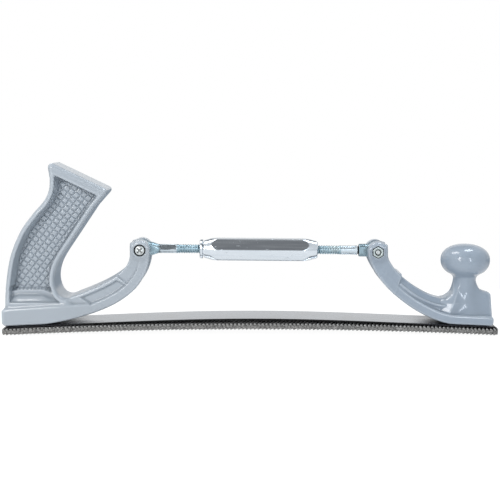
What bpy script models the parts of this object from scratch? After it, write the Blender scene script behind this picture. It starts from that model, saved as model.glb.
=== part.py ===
"""Body file: an adjustable holder for a flexible curved-tooth file blade.

Two cast handles clamp the ends of a spring-steel strip and of the blade under it. A turnbuckle joins the
forks of the handles: turning its sleeve drives the forks apart or together and so bends strip and blade.
Metres, +Z up. +X runs from the rear grip to the front knob. The origin lies under the middle of the blade,
level with the tooth tips at the blade's ends.
"""

import math

import bmesh
import bpy
from mathutils import Matrix, Vector

MM = 0.001

# Clearances
SEAT_GAP = 0.3 * MM  # between faces that rest on each other
HOLE_GAP = 0.3 * MM  # round a screw, rivet, nut or eye in its hole
THREAD_GAP = 0.4 * MM  # round a rod in the sleeve's bore
CUT_PAST = 2 * MM  # how far a cutter reaches beyond the surface it opens
CROWDED = 1 * MM  # least distance from a curve's point to the end of a cut-out stretch

# Blade, measured along its arch
BLADE_LENGTH = 355 * MM
BLADE_WIDTH = 35 * MM
BLADE_THICKNESS = 4.6 * MM  # over the tooth tips of both faces
BLADE_CORNER = 5 * MM
TOOTH_PITCH = 2.8 * MM
TOOTH_DEPTH = 0.75 * MM
TOOTH_FACE = 0.4 * MM  # run of the steep cutting face
TOOTH_BOW = 3.5 * MM  # how far the middle of a tooth lies ahead of its ends
TOOTH_SPANS = 4  # flat spans that make up one curved tooth
COVERED_SPANS = 2  # the same on the face under the strip
ARCH_RISE = 4.3 * MM  # middle of the blade above its ends

# Strip
STRIP_INSET = 2.5 * MM  # each end of the strip from the blade's end
STRIP_WIDTH = 31 * MM
STRIP_THICKNESS = 1.2 * MM
STRIP_CORNER = 4 * MM
STRIP_BOW = 1.6 * MM  # how far the middle of the strip stands off the blade
STRIP_SPANS = 24  # straight spans along the strip's bend

# Blade screws and strip rivets
SCREW_INSET = 16 * MM  # from the blade's end to its screw
BLADE_SCREW_RADIUS = 2.5 * MM
BLADE_SCREW_HEAD = 4.6 * MM
BLADE_SCREW_SINK = 0.5 * MM  # head below the tooth tips
BLADE_SCREW_REACH = 11 * MM  # into the foot
BLADE_SCREW_CHAMFER = 0.6 * MM
DRIVER_SLOT = 1.2 * MM  # width and depth of the slot in its head
RIVET_RADIUS = 2 * MM
RIVET_HEAD = 3.2 * MM
RIVET_OFFSET = 8.5 * MM  # from the blade screw, each way along the foot
RIVET_REACH = 5 * MM
RIVET_SINK = 0.05 * MM  # head below the strip's lower face
RIVET_SHARE = 0.8  # part of the strip's thickness that a rivet's countersink takes up
HEAD_SLOPE = 1.0  # depth of a screw's countersink over its step in radius

# Handles: u runs from a blade screw towards the middle of the tool, v up from the strip
FORK_HALF = 12.5 * MM  # half width of the arms and forks
BASE_HALF = 16.5 * MM
EAR_RADIUS = 7.1 * MM
HORN_RISE = 6.5 * MM  # outer corner of an ear above its pivot
EAR_SWEEP = 125  # degrees of an ear's round top, from its inner side
SLOT_DEPTH = 15 * MM  # below the pivot
ARM_EDGE = 1.2 * MM
FOOT_CORNER = 2.5 * MM
FLANGE_SHARE = 0.62  # part of the arm's lower edge along which the foot's flange runs on
FLANGE_TIP_HALF = FORK_HALF - 0.2 * MM
TAPER_START = 22 * MM  # where the flange starts to draw in from the foot's width
REAR_PIVOT_REACH = 83.4 * MM
REAR_PIVOT_RISE = 53.4 * MM
FRONT_PIVOT_REACH = 70.8 * MM
FRONT_PIVOT_RISE = 52.0 * MM

# Rear grip
GRIP_HALF = 15 * MM
GRIP_EDGE = 2.6 * MM
GRIP_RIM = 3.4 * MM
GRIP_TOP_RIM = 7 * MM
GRIP_WEB = 7 * MM  # wall left between the two side recesses
RECESS_DRAFT = 2 * MM
RECESS_CORNER = 3 * MM
CORNER_ROOM = 1.5  # stretch of an edge that a round corner takes up, over its radius
GRIP_BACK = [(-13.3, 6), (-12.6, 24), (-8.6, 48), (-1, 66.5), (8, 79), (16.5, 88.7), (20.2, 96.5), (21, 104)]
GRIP_TOP_REAR = (19.2, 117)
GRIP_TOP_FRONT = (62.6, 96.2)
GRIP_FINGERS = [(52.2, 84.6), (37.2, 62.6), (26.8, 47), (23, 37.5), (22.6, 29), (25.6, 21.6), (31, 18.8)]
GRIP_CORNER = 2.5 * MM
RECESS_FLOOR = 25 * MM  # height at which the deep recess ends in a raised pad
PAD_DEPTH = 4 * MM  # pad surface below the rim
PAD_GAP = 1 * MM  # from the base's top edge to the pad's recess
PAD_DRAFT = 0.6 * MM

# Rear base and arm
REAR_BASE_OUT = 15.3 * MM  # from the screw to the outer end
REAR_BASE_IN = 15 * MM
REAR_BASE_TOP_OUT = 11.6 * MM
REAR_BASE_TOP_IN = 15.4 * MM
REAR_FLANGE = 7.4 * MM
REAR_CROTCH = (31, 18.8)
GRIP_ROOT = (39, 9.5)  # hidden end of the grip inside the arm
ARM_ROOT = [(25, 12.8), (12, 5)]  # hidden end of the arm inside the grip
REAR_TAPER_END = 62 * MM
REAR_UNDER = (50, 6.8, 28.4)  # leads of the arm's lower edge: start reach, start climb, end drop
REAR_OVER = (27, 10.2, 13.5, 2.9)  # the same of its upper edge, and its end below the pivot
LONG_PANEL = ((0.24, 0.57), (0.1, 0.5), 6.4 * MM, 2.2 * MM)  # shares of both edges, rims below and above
LONG_PANEL_DEPTH = 2.4 * MM
SHORT_PANEL = ((0.6, 0.84), (0.54, 0.86), 5.4 * MM, 2 * MM)
SHORT_PANEL_DEPTH = 1.2 * MM
PANEL_DRAFT = 0.6 * MM

# Front base, arm, column and knob
FRONT_BASE_OUT = 12 * MM
FRONT_BASE_IN = 18.5 * MM
FRONT_BASE_TOP = 6.2 * MM
FRONT_TAPER_END = 58 * MM
FRONT_UNDER = (36, 6.9, 11.6)
FRONT_OVER = (18, 2.7, 8, 2)
FRONT_FLANGE = 6.8 * MM
FRONT_CROTCH = (24, 17.8)
FRONT_WAIST = ((0.05, 0.5), (0, 0.5), FRONT_FLANGE - 1 * MM, -4 * MM)  # as LONG_PANEL, open at the top
RIB_HALF = 9 * MM  # half width of the rib between the front arm's step and the column
RIB_END_HALF = 4 * MM  # the same where the rib runs into the column
RIB_END = 14 * MM  # where it does
KNOB_AXIS = 6.3 * MM
KNOB_RADIUS = 17.6 * MM
KNOB_CENTRE = 45.2 * MM
KNOB_UP = 11.4 * MM
KNOB_DOWN = 12.4 * MM
NECK_RADIUS = 7.8 * MM
NECK_RISE = 29.5 * MM
COLUMN_FOOT = 16.2 * MM
BLOCK_HALF = 11 * MM
BLOCK_OUT = 11.2 * MM
BLOCK_TOP_OUT = 19.6 * MM
BLOCK_TOP_IN = 24 * MM
BLOCK_END_HALF = 7 * MM
BLOCK_CORNER = 3.5 * MM
BLOCK_EDGE = 2 * MM
FRONT_FILLET = [(20.1, 18.9), (16.6, 22.2), (15.2, 27)]  # from the crotch up to the column
COLUMN_START = 4.5 * MM  # hidden foot of column and block, above the strip
COLUMN_LEADS = (4.8, 3, 15.5)  # flare of the column: start inset, start climb, end drop
KNOB_LEAVES = -46  # degrees below its middle at which the knob runs into the neck
KNOB_LEADS = (4, 3.2, 1.6)  # fillet under the knob: start climb, end inset, end drop
KNOB_STEPS = 8

# Pivots
PIVOT_RADIUS = 2 * MM
PIVOT_HEAD = 3.5 * MM
PIVOT_HEAD_HEIGHT = 2.4 * MM
PIVOT_HEAD_CROWN = 0.7 * MM
PIVOT_CHAMFER = 0.5 * MM
COUNTERBORE = 4.2 * MM
COUNTERBORE_DEPTH = 2 * MM
NUT_ACROSS = 7 * MM
NUT_HEIGHT = 3.2 * MM
NUT_POCKET = 2.8 * MM
RECESS_ARM = 2.2 * MM  # half length of a cross recess
RECESS_WIDTH = 0.8 * MM
RECESS_DEPTH = 1.2 * MM

# Turnbuckle, along the line between the pivots
EYE_RADIUS = 6.5 * MM
EYE_HALF = 4 * MM
ROD_RADIUS = 3 * MM
ROD_SHOWN = 42.2 * MM  # from each pivot to the sleeve
ROD_ENGAGED = 20 * MM
ROD_CHAMFER = 0.8 * MM
EYE_FLAT = 0.2 * MM  # each flat beside the collar, inside the eye's face
COLLAR_ROOT = 2.7 * MM  # hidden start of a collar inside the eye
COLLAR_START = 5.7 * MM
COLLAR_END = 12.6 * MM
REAR_COLLAR = 5 * MM
FRONT_COLLAR = 4.6 * MM
SLEEVE_CORNER = 9 * MM  # hexagon radius over its corners
SLEEVE_LIP = 6.9 * MM
SLEEVE_LIP_LENGTH = 2.2 * MM
SLEEVE_GROOVE = 5.2 * MM
SLEEVE_GROOVE_LENGTH = 0.9 * MM
SLEEVE_NECK = 6.2 * MM
SLEEVE_REAR_CONE = 13.5 * MM
SLEEVE_FRONT_CONE = 12 * MM
SLEEVE_CHAMFER = 0.8 * MM

# Looks: base colour, roughness, metallic
PAINT = ((0.36, 0.42, 0.49), 0.38, 0.0)
FILE_STEEL = ((0.2, 0.2, 0.2), 0.55, 0.9)
SPRING_STEEL = ((0.52, 0.54, 0.56), 0.32, 1.0)
ZINC = ((0.58, 0.62, 0.64), 0.3, 1.0)
BRIGHT_PLATING = ((0.72, 0.73, 0.75), 0.18, 1.0)

# Smoothness
ROUND = 24
FINE_ROUND = 32
SMALL_ROUND = 16
CURVE_STEPS = 12
PANEL_STEPS = 6
EAR_STEPS = 8
EDGE_STEPS = 2
CORNER_ANGLES = (12, 35, 60, 90)  # degrees round a plate's corner at which it is drawn
WELD = 0.01 * MM  # points nearer than this are one
SHARPEST_MITRE = 0.5  # least cosine by which an outline's corner is moved along its bisector

# Values that follow from those above
STRIP_LENGTH = BLADE_LENGTH - 2 * STRIP_INSET
ARCH_RADIUS = (BLADE_LENGTH**2 / 4 + ARCH_RISE**2) / (2 * ARCH_RISE)
SCREW_AT = BLADE_LENGTH / 2 - SCREW_INSET
STRIP_BOTTOM = BLADE_THICKNESS + SEAT_GAP
SEAT = STRIP_BOTTOM + STRIP_THICKNESS + SEAT_GAP
EYE_SLOT = EYE_HALF + HOLE_GAP
REAR, FRONT = -1, 1


def bent(along, height):
    """Place on the arch of the bed: distance along the blade, height above its tooth tips."""
    angle = along / ARCH_RADIUS
    out = ARCH_RADIUS + height
    return out * math.sin(angle), ARCH_RISE - ARCH_RADIUS + out * math.cos(angle)


SEAT_X, SEAT_Z = bent(SCREW_AT, SEAT)
SEAT_SLOPE = math.tan(SCREW_AT / ARCH_RADIUS)


def world(end, u, v):
    """(x, z) of a point given by a handle's own u and v."""
    return end * (SEAT_X - u), SEAT_Z + v


REAR_PIVOT = world(REAR, REAR_PIVOT_REACH, REAR_PIVOT_RISE)
FRONT_PIVOT = world(FRONT, FRONT_PIVOT_REACH, FRONT_PIVOT_RISE)
PIVOT_SPAN = math.hypot(FRONT_PIVOT[0] - REAR_PIVOT[0], FRONT_PIVOT[1] - REAR_PIVOT[1])
AXIS_TILT = -math.atan2(FRONT_PIVOT[1] - REAR_PIVOT[1], FRONT_PIVOT[0] - REAR_PIVOT[0])
SLEEVE_LENGTH = PIVOT_SPAN - 2 * ROD_SHOWN
FLEX_HEIGHT = bent(REAR_PIVOT[0], STRIP_BOTTOM)[1]


def clear_scene():
    for obj in list(bpy.data.objects):
        bpy.data.objects.remove(obj)


def material(name, colour, roughness, metallic):
    made = bpy.data.materials.new(name)
    made.use_nodes = True
    shader = made.node_tree.nodes["Principled BSDF"]
    shader.inputs["Base Color"].default_value = (*colour, 1)
    shader.inputs["Roughness"].default_value = roughness
    shader.inputs["Metallic"].default_value = metallic
    return made


def axis_empty(name, place, tilt=0.0, parent=None):
    """An empty on a joint's axis, which the pieces that turn about it are parented to."""
    empty = bpy.data.objects.new(name, None)
    bpy.context.scene.collection.objects.link(empty)
    empty.empty_display_size = 0.01
    turned_place = Matrix.Translation(Vector(place)) @ Matrix.Rotation(tilt, 4, "Y")
    if parent:
        empty.parent = parent
        turned_place = parent.matrix_world.inverted() @ turned_place
    empty.matrix_basis = turned_place
    bpy.context.view_layer.update()
    return empty


def facing_out(bm):
    """One closed body with its faces turned outwards."""
    bmesh.ops.recalc_face_normals(bm, faces=bm.faces)
    if bm.calc_volume(signed=True) < 0:
        bmesh.ops.reverse_faces(bm, faces=bm.faces)
    return bm


def solid(name, bm, look=None, parent=None, smooth=35):
    """An object of the closed mesh bm, given in world space and kept under its parent."""
    if parent:
        bm.transform(parent.matrix_world.inverted())
    mesh = bpy.data.meshes.new(name)
    bm.to_mesh(mesh)
    bm.free()
    mesh.shade_smooth()
    mesh.set_sharp_from_angle(angle=math.radians(smooth))
    obj = bpy.data.objects.new(name, mesh)
    bpy.context.scene.collection.objects.link(obj)
    obj.parent = parent
    if look:
        mesh.materials.append(material(name + "_look", *look))
    else:
        obj.hide_render = True
        obj.display_type = "WIRE"
    return obj


def combine(target, other, operation):
    step = target.modifiers.new(other.name, "BOOLEAN")
    step.operation = operation
    step.solver = "EXACT"
    step.object = other


def prism(outline, layers):
    """A bmesh through copies of an (x, z) outline: each layer is (y, inward offset of the outline)."""
    bm = bmesh.new()
    rings = []
    for y, inset in layers:
        points = offset(outline, inset)
        rings.append([bm.verts.new((x, y, z)) for x, z in points])
    for lower, upper in zip(rings, rings[1:]):
        for i in range(len(outline)):
            j = i - 1
            bm.faces.new((lower[j], lower[i], upper[i], upper[j]))
    bm.faces.new(rings[0])
    bm.faces.new(rings[-1])
    return facing_out(bm)


def rounded_layers(half, edge):
    """Layers of a slab of half width half whose rims are rounded by edge."""
    one_side = []
    for step in range(EDGE_STEPS + 1):
        angle = math.pi / 2 * step / EDGE_STEPS
        one_side.append((half - edge + edge * math.sin(angle), edge - edge * math.cos(angle)))
    return [(-y, inset) for y, inset in reversed(one_side)] + one_side


def offset(outline, inset):
    """The closed outline moved inwards by inset along its corners' bisectors."""
    if not inset:
        return list(outline)
    turning = sum(a[0] * b[1] - b[0] * a[1] for a, b in zip(outline, outline[1:] + outline[:1]))
    moved = []
    for i, point in enumerate(outline):
        before, here = Vector(outline[i - 1]), Vector(point)
        after = Vector(outline[(i + 1) % len(outline)])
        into, out = (here - before).normalized(), (after - here).normalized()
        normal = Vector((-into.y - out.y, into.x + out.x)).normalized()
        reach = inset / max(SHARPEST_MITRE, normal.dot(Vector((-into.y, into.x))))
        moved.append(tuple(here + normal * reach * math.copysign(1, turning)))
    return moved


def beside(curve, distance):
    """An open curve moved to its left by distance."""
    moved = []
    for i, point in enumerate(curve):
        before = Vector(curve[max(i - 1, 0)])
        after = Vector(curve[min(i + 1, len(curve) - 1)])
        along = (after - before).normalized()
        moved.append((point[0] - along.y * distance, point[1] + along.x * distance))
    return moved


def bezier(a, b, c, d, first=0.0, last=1.0, steps=CURVE_STEPS):
    """Points of a cubic curve between two of its parameters."""
    points = []
    for i in range(steps + 1):
        t = first + (last - first) * i / steps
        shares = ((1 - t) ** 3, 3 * t * (1 - t) ** 2, 3 * t * t * (1 - t), t**3)
        points.append(tuple(sum(s * p[k] for s, p in zip(shares, (a, b, c, d))) for k in (0, 1)))
    return points


def through(points, steps=3):
    """A smooth curve through points, with steps spans between each two."""
    ends = [points[0], *points, points[-1]]
    curve = []
    for a, b, c, d in zip(ends, ends[1:], ends[2:], ends[3:]):
        for i in range(steps):
            t = i / steps
            curve.append(
                tuple(
                    0.5 * (2 * b[k] + (c[k] - a[k]) * t + (2 * a[k] - 5 * b[k] + 4 * c[k] - d[k]) * t**2
                           + (3 * b[k] - a[k] - 3 * c[k] + d[k]) * t**3)
                    for k in (0, 1)
                )
            )
    return [*curve, points[-1]]


def corner(before, at, after, radius, steps=3):
    """An arc that rounds the corner at."""
    at = Vector(at)
    back = (Vector(before) - at).normalized()
    ahead = (Vector(after) - at).normalized()
    half = back.angle(ahead) / 2
    centre = at + (back + ahead).normalized() * radius / math.sin(half)
    reach = radius / math.tan(half)
    start, end = at + back * reach - centre, at + ahead * reach - centre
    sweep = start.angle_signed(end)
    return [tuple(centre + Matrix.Rotation(-sweep * i / steps, 2) @ start) for i in range(steps + 1)]


def millimetres(points):
    return [(u * MM, v * MM) for u, v in points]


def placed(end, outline):
    return [world(end, u, v) for u, v in outline]


def turned(profile, place, segments=ROUND):
    """A bmesh turned from (radius, height) points about the Z axis of the matrix place."""
    bm = bmesh.new()
    verts = [bm.verts.new((radius, 0, height)) for radius, height in profile]
    edges = [bm.edges.new(pair) for pair in zip(verts, verts[1:])]
    if profile[0][0] and profile[-1][0]:
        edges.append(bm.edges.new((verts[-1], verts[0])))
    bmesh.ops.spin(bm, geom=verts + edges, cent=(0, 0, 0), axis=(0, 0, 1), angle=2 * math.pi, steps=segments)
    bmesh.ops.remove_doubles(bm, verts=bm.verts, dist=WELD)
    bm.transform(place)
    return facing_out(bm)


def rod_shape(radius, low, high, place, segments=ROUND):
    return turned([(0, low), (radius, low), (radius, high), (0, high)], place, segments)


def box(size, place):
    bm = bmesh.new()
    bmesh.ops.create_cube(bm, size=1, matrix=place @ Matrix.Diagonal((*size, 1)))
    return bm


def hexagon(across, centre, first_angle=0.0):
    radius = across / math.sqrt(3)
    angles = [first_angle + math.pi / 3 * i for i in range(6)]
    return [(centre[0] + radius * math.cos(a), centre[1] + radius * math.sin(a)) for a in angles]


def along_y(pivot):
    """A frame at a pivot whose Z axis runs along +Y."""
    return Matrix.Translation((pivot[0], 0, pivot[1])) @ Matrix.Rotation(-math.pi / 2, 4, "X")


def facing_side(pivot, side):
    """A frame at a pivot whose Z axis runs along Y, out of the given side."""
    return along_y(pivot) @ Matrix.Rotation(0 if side > 0 else math.pi, 4, "X")


def on_bed(along):
    """A frame on the tooth tips of the blade, with Z square to the bed."""
    x, z = bent(along, 0)
    return Matrix.Translation((x, 0, z)) @ Matrix.Rotation(along / ARCH_RADIUS, 4, "Y")


def half_width_at(from_end, half, radius):
    """Half width of a plate with round corners, at a distance from its end."""
    if from_end >= radius:
        return half
    return half - radius + math.sqrt(max(0.0, radius**2 - (radius - from_end) ** 2))


def bed_plate(stations, under_spans=1, upper_spans=1):
    """A bent plate: stations are (along, half width, bottom, top, bow), its faces split into spans across."""
    under = [2 * i / under_spans - 1 for i in range(under_spans + 1)]
    upper = [1 - 2 * i / upper_spans for i in range(upper_spans + 1)]
    bm = bmesh.new()
    rows = []
    for along, half, bottom, top, bow in stations:
        row = []
        for columns, height in ((under, bottom), (upper, top)):
            for c in columns:
                x, z = bent(along + bow * (1 - c * c), height)
                row.append(bm.verts.new((x, c * half, z)))
        rows.append(row)
    for low, high in zip(rows, rows[1:]):
        for i in range(len(low)):
            bm.faces.new((low[i - 1], low[i], high[i], high[i - 1]))
    for row in (rows[0], rows[-1]):
        bm.faces.new(row)
    return facing_out(bm)


def corner_stations(radius):
    """Distances from a plate's end at which its round corner is drawn."""
    return [radius * (1 - math.cos(math.radians(a))) for a in CORNER_ANGLES]


def blade_stations():
    half, end = BLADE_WIDTH / 2, BLADE_LENGTH / 2
    low, high = 0.0, BLADE_THICKNESS
    rounding = corner_stations(BLADE_CORNER)
    stations = [(d - end, half_width_at(d, half, BLADE_CORNER), low, high, 0) for d in rounding]
    plain = BLADE_CORNER + TOOTH_PITCH / 2
    count = int((BLADE_LENGTH - 2 * plain - TOOTH_BOW) / TOOTH_PITCH)
    start = -(count * TOOTH_PITCH + TOOTH_BOW) / 2
    for k in range(count + 1):
        tip = start + k * TOOTH_PITCH
        stations.append((tip, half, low, high, TOOTH_BOW))
        if k < count:
            root = tip + TOOTH_PITCH - TOOTH_FACE
            stations.append((root, half, low + TOOTH_DEPTH, high - TOOTH_DEPTH, TOOTH_BOW))
    for d in reversed(rounding):
        stations.append((end - d, half_width_at(d, half, BLADE_CORNER), low, high, 0))
    return stations


def strip_lift(along):
    """How far the strip stands off the blade, largest in the middle and nothing at the feet."""
    free = SCREW_AT - REAR_BASE_IN
    if abs(along) >= free:
        return 0.0
    return STRIP_BOW * math.cos(math.pi / 2 * along / free) ** 2


def strip_stations():
    half, end = STRIP_WIDTH / 2, STRIP_LENGTH / 2
    rounding = corner_stations(STRIP_CORNER)
    inner = [(end - STRIP_CORNER) * (2 * i / STRIP_SPANS - 1) for i in range(1, STRIP_SPANS)]
    places = [d - end for d in rounding] + inner + [end - d for d in reversed(rounding)]
    stations = []
    for along in places:
        bottom = STRIP_BOTTOM + strip_lift(along)
        width = half_width_at(end - abs(along), half, STRIP_CORNER)
        stations.append((along, width, bottom, bottom + STRIP_THICKNESS, 0))
    return stations


def seat_line(u):
    return SEAT_SLOPE * u


def under_curve(base_in, pivot, lead, first=0.0, last=1.0, steps=CURVE_STEPS):
    """Lower edge of an arm, from the inner end of its foot to the inner side of its ear."""
    start_lead, start_climb, end_lead = (value * MM for value in lead)
    start = (base_in, seat_line(base_in))
    side = pivot[0] + EAR_RADIUS
    return bezier(start, (base_in + start_lead, start[1] + start_climb), (side, pivot[1] - end_lead),
                  (side, pivot[1]), first, last, steps)


def over_curve(crotch, pivot, lead, first=0.0, last=1.0, steps=CURVE_STEPS):
    """Upper edge of an arm, from the crotch beside its foot to the outer side of its ear."""
    start_lead, start_climb, end_lead, end_drop = (value * MM for value in lead)
    side = pivot[0] - EAR_RADIUS
    top = pivot[1] - end_drop
    return bezier(crotch, (crotch[0] + start_lead, crotch[1] + start_climb), (side, top - end_lead),
                  (side, top), first, last, steps)


def ear_curve(pivot):
    """Round top of an ear and the horn at its outer corner."""
    points = []
    for i in range(1, EAR_STEPS + 1):
        angle = math.radians(EAR_SWEEP * i / EAR_STEPS)
        points.append((pivot[0] + EAR_RADIUS * math.cos(angle), pivot[1] + EAR_RADIUS * math.sin(angle)))
    return [*points, (pivot[0] - EAR_RADIUS, pivot[1] + HORN_RISE)]


def arm_slab(end, base_in, crotch, pivot, under, over, root):
    """An arm and its ear; root is the rest of its outline, hidden inside what the arm grows from."""
    lower = under_curve(base_in, pivot, under)
    upper = over_curve(crotch, pivot, over)
    outline = lower + ear_curve(pivot) + list(reversed(upper)) + root
    return prism(placed(end, outline), rounded_layers(FORK_HALF, ARM_EDGE))


def foot_slab(end, base_out, base_in, top_out, top_in, flange, pivot, under, taper_end):
    """A foot and the flange that runs on from it along the arm's lower edge, drawn in to the arm's width."""
    lower = under_curve(base_in, pivot, under, 0, FLANGE_SHARE)
    upper = [p for p in beside(lower, flange) if p[1] > top_in]
    low, high = (-base_out, seat_line(-base_out)), (-base_out, top_out)
    rounding = corner(upper[0], high, low, FOOT_CORNER) + corner(high, low, lower[0], FOOT_CORNER)
    outline = lower + list(reversed(upper)) + rounding
    slab = prism(placed(end, outline), rounded_layers(BASE_HALF, ARM_EDGE))
    return narrowed(slab, end, TAPER_START, taper_end, BASE_HALF, FLANGE_TIP_HALF)


def narrowed(bm, end, wide_to, narrow_from, wide, narrow):
    """Draws a slab's sides in from half width wide to narrow between two distances u."""
    bmesh.ops.triangulate(bm, faces=bm.faces)
    for vert in bm.verts:
        u = SEAT_X - end * vert.co.x
        t = min(1.0, max(0.0, (u - wide_to) / (narrow_from - wide_to)))
        vert.co.y *= 1 - (1 - narrow / wide) * t * t * (3 - 2 * t)
    return bm


def pocket(name, outline, end, floor, draft):
    """A cutter of two bodies, one on each side, that leaves half width floor between them."""
    shape = placed(end, outline)
    mouth = BASE_HALF + CUT_PAST
    bm = prism(shape, [(floor, draft), (mouth, 0)])
    mesh = bpy.data.meshes.new(name)
    other = prism(shape, [(-mouth, 0), (-floor, draft)])
    other.to_mesh(mesh)
    other.free()
    bm.from_mesh(mesh)
    return solid(name, bm)


def arm_panel(base_in, crotch, pivot, under, over, low_span, high_span, low_rim, high_rim):
    """Outline of a panel between an arm's two edges, a rim away from each."""
    lower = beside(under_curve(base_in, pivot, under, *low_span, PANEL_STEPS), low_rim)
    upper = beside(over_curve(crotch, pivot, over, *high_span, PANEL_STEPS), -high_rim)
    return lower + list(reversed(upper))


def cut_pivot(handle, pivot, head_side):
    """Slot for the rod's eye, bore for the screw, counterbore for its head, pocket for its nut."""
    wide = 4 * EAR_RADIUS
    deep = SLOT_DEPTH + 2 * EAR_RADIUS
    centre = (pivot[0], 0, pivot[1] + deep / 2 - SLOT_DEPTH)
    slot = box((wide, 2 * EYE_SLOT, deep), Matrix.Translation(centre))
    combine(handle, solid(handle.name + "_slot", slot), "DIFFERENCE")
    reach = FORK_HALF + CUT_PAST
    radius = PIVOT_RADIUS + HOLE_GAP
    floor = FORK_HALF - COUNTERBORE_DEPTH
    profile = [(0, -reach), (radius, -reach), (radius, floor), (COUNTERBORE, floor), (COUNTERBORE, reach),
               (0, reach)]
    bore = turned(profile, facing_side(pivot, head_side))
    combine(handle, solid(handle.name + "_bore", bore), "DIFFERENCE")
    span = sorted((-head_side * (FORK_HALF - NUT_POCKET), -head_side * reach))
    hole = prism(hexagon(NUT_ACROSS + 2 * HOLE_GAP, pivot, math.pi / 6), [(span[0], 0), (span[1], 0)])
    combine(handle, solid(handle.name + "_nut_pocket", hole), "DIFFERENCE")


def cut_foot(handle, end):
    """Blind holes for the blade screw and the two strip rivets."""
    low = SEAT - CUT_PAST
    depth = SEAT + BLADE_SCREW_REACH + HOLE_GAP
    hole = rod_shape(BLADE_SCREW_RADIUS + HOLE_GAP, low, depth, on_bed(end * SCREW_AT))
    combine(handle, solid(handle.name + "_screw_hole", hole), "DIFFERENCE")
    for side in (-1, 1):
        place = on_bed(end * SCREW_AT + side * RIVET_OFFSET)
        depth = SEAT + RIVET_REACH + HOLE_GAP
        hole = rod_shape(RIVET_RADIUS + HOLE_GAP, low, depth, place, SMALL_ROUND)
        combine(handle, solid(f"{handle.name}_rivet_hole_{side + 1}", hole), "DIFFERENCE")


def grip_edges():
    """Back curve, the two top corners and the finger curve of the grip."""
    rear, front = millimetres([GRIP_TOP_REAR, GRIP_TOP_FRONT])
    return through(millimetres(GRIP_BACK)), rear, front, through(millimetres(GRIP_FINGERS))


def grip_outline():
    """Side view of the grip: back, top and finger side, closed inside the base and the arm."""
    back, rear, front, fingers = grip_edges()
    top = corner(back[-1], rear, front, GRIP_CORNER) + corner(rear, front, fingers[0], GRIP_CORNER)
    return back + top + fingers + millimetres([GRIP_ROOT])


def towards(start, goal, distance):
    """The point at a distance from start on the way to goal."""
    start = Vector(start)
    return tuple(start + (Vector(goal) - start).normalized() * distance)


def clipped(curve, low, high):
    """The stretch of a climbing curve between two heights, without points crowded against its ends."""
    kept = [p for p in curve if low + CROWDED < p[1] < high - CROWDED]
    for level, at in ((low, 0), (high, len(kept) + 1)):
        for a, b in zip(curve, curve[1:]):
            if a[1] <= level < b[1]:
                share = (level - a[1]) / (b[1] - a[1])
                kept.insert(at, (a[0] + (b[0] - a[0]) * share, level))
    return kept


def recess_edges(low, high):
    """The grip's back and finger curves, a rim further in, between two heights, both climbing."""
    back, rear, front, fingers = grip_edges()
    lower = GRIP_TOP_RIM - GRIP_RIM
    top = [towards(rear, back[-1], lower), towards(front, fingers[0], lower)]
    inner = offset(back + top + fingers, GRIP_RIM)
    count = len(back)
    inner_fingers = list(reversed(inner[count + 2 : -1]))
    return clipped(inner[1:count], low, high), inner[count : count + 2], clipped(inner_fingers, low, high)


def recess_outline():
    """The deep recess in the side of the grip, with round corners."""
    back, (rear, front), fingers = recess_edges(RECESS_FLOOR, math.inf)
    low_rear, low_front = back[0], fingers[0]
    room = CORNER_ROOM * RECESS_CORNER
    side = [p for p in back if RECESS_FLOOR + room < p[1] < rear[1] - room]
    other = [p for p in reversed(fingers) if RECESS_FLOOR + room < p[1] < front[1] - room]
    return (
        corner(low_front, low_rear, side[0], RECESS_CORNER)
        + side
        + corner(side[-1], rear, front, RECESS_CORNER)
        + corner(rear, front, other[0], RECESS_CORNER)
        + other
        + corner(other[-1], low_front, low_rear, RECESS_CORNER)
    )


def pad_outline():
    """The shallow recess below it, down to the base, whose floor is the raised pad."""
    back, _, fingers = recess_edges(REAR_BASE_TOP_IN + PAD_GAP, RECESS_FLOOR + RECESS_DRAFT)
    return back + list(reversed(fingers))


def rear_handle(parent):
    pivot = (REAR_PIVOT_REACH, REAR_PIVOT_RISE)
    [crotch] = millimetres([REAR_CROTCH])
    arm = (REAR_BASE_IN, crotch, pivot, REAR_UNDER, REAR_OVER)
    foot = foot_slab(REAR, REAR_BASE_OUT, REAR_BASE_IN, REAR_BASE_TOP_OUT, REAR_BASE_TOP_IN, REAR_FLANGE,
                     pivot, REAR_UNDER, REAR_TAPER_END)
    handle = solid("rear_handle", foot, PAINT, parent)
    combine(handle, solid("rear_arm", arm_slab(REAR, *arm, millimetres(ARM_ROOT))), "UNION")
    grip = prism(placed(REAR, grip_outline()), rounded_layers(GRIP_HALF, GRIP_EDGE))
    combine(handle, solid("rear_grip", grip), "UNION")
    for name, outline, floor, draft in (
        ("grip_recess", recess_outline(), GRIP_WEB / 2, RECESS_DRAFT),
        ("grip_pad", pad_outline(), GRIP_HALF - PAD_DEPTH, PAD_DRAFT),
        ("arm_panel", arm_panel(*arm, *LONG_PANEL), FORK_HALF - LONG_PANEL_DEPTH, PANEL_DRAFT),
        ("ear_panel", arm_panel(*arm, *SHORT_PANEL), FORK_HALF - SHORT_PANEL_DEPTH, PANEL_DRAFT),
    ):
        combine(handle, pocket(name, outline, REAR, floor, draft), "DIFFERENCE")
    cut_pivot(handle, REAR_PIVOT, -1)
    cut_foot(handle, REAR)


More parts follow.
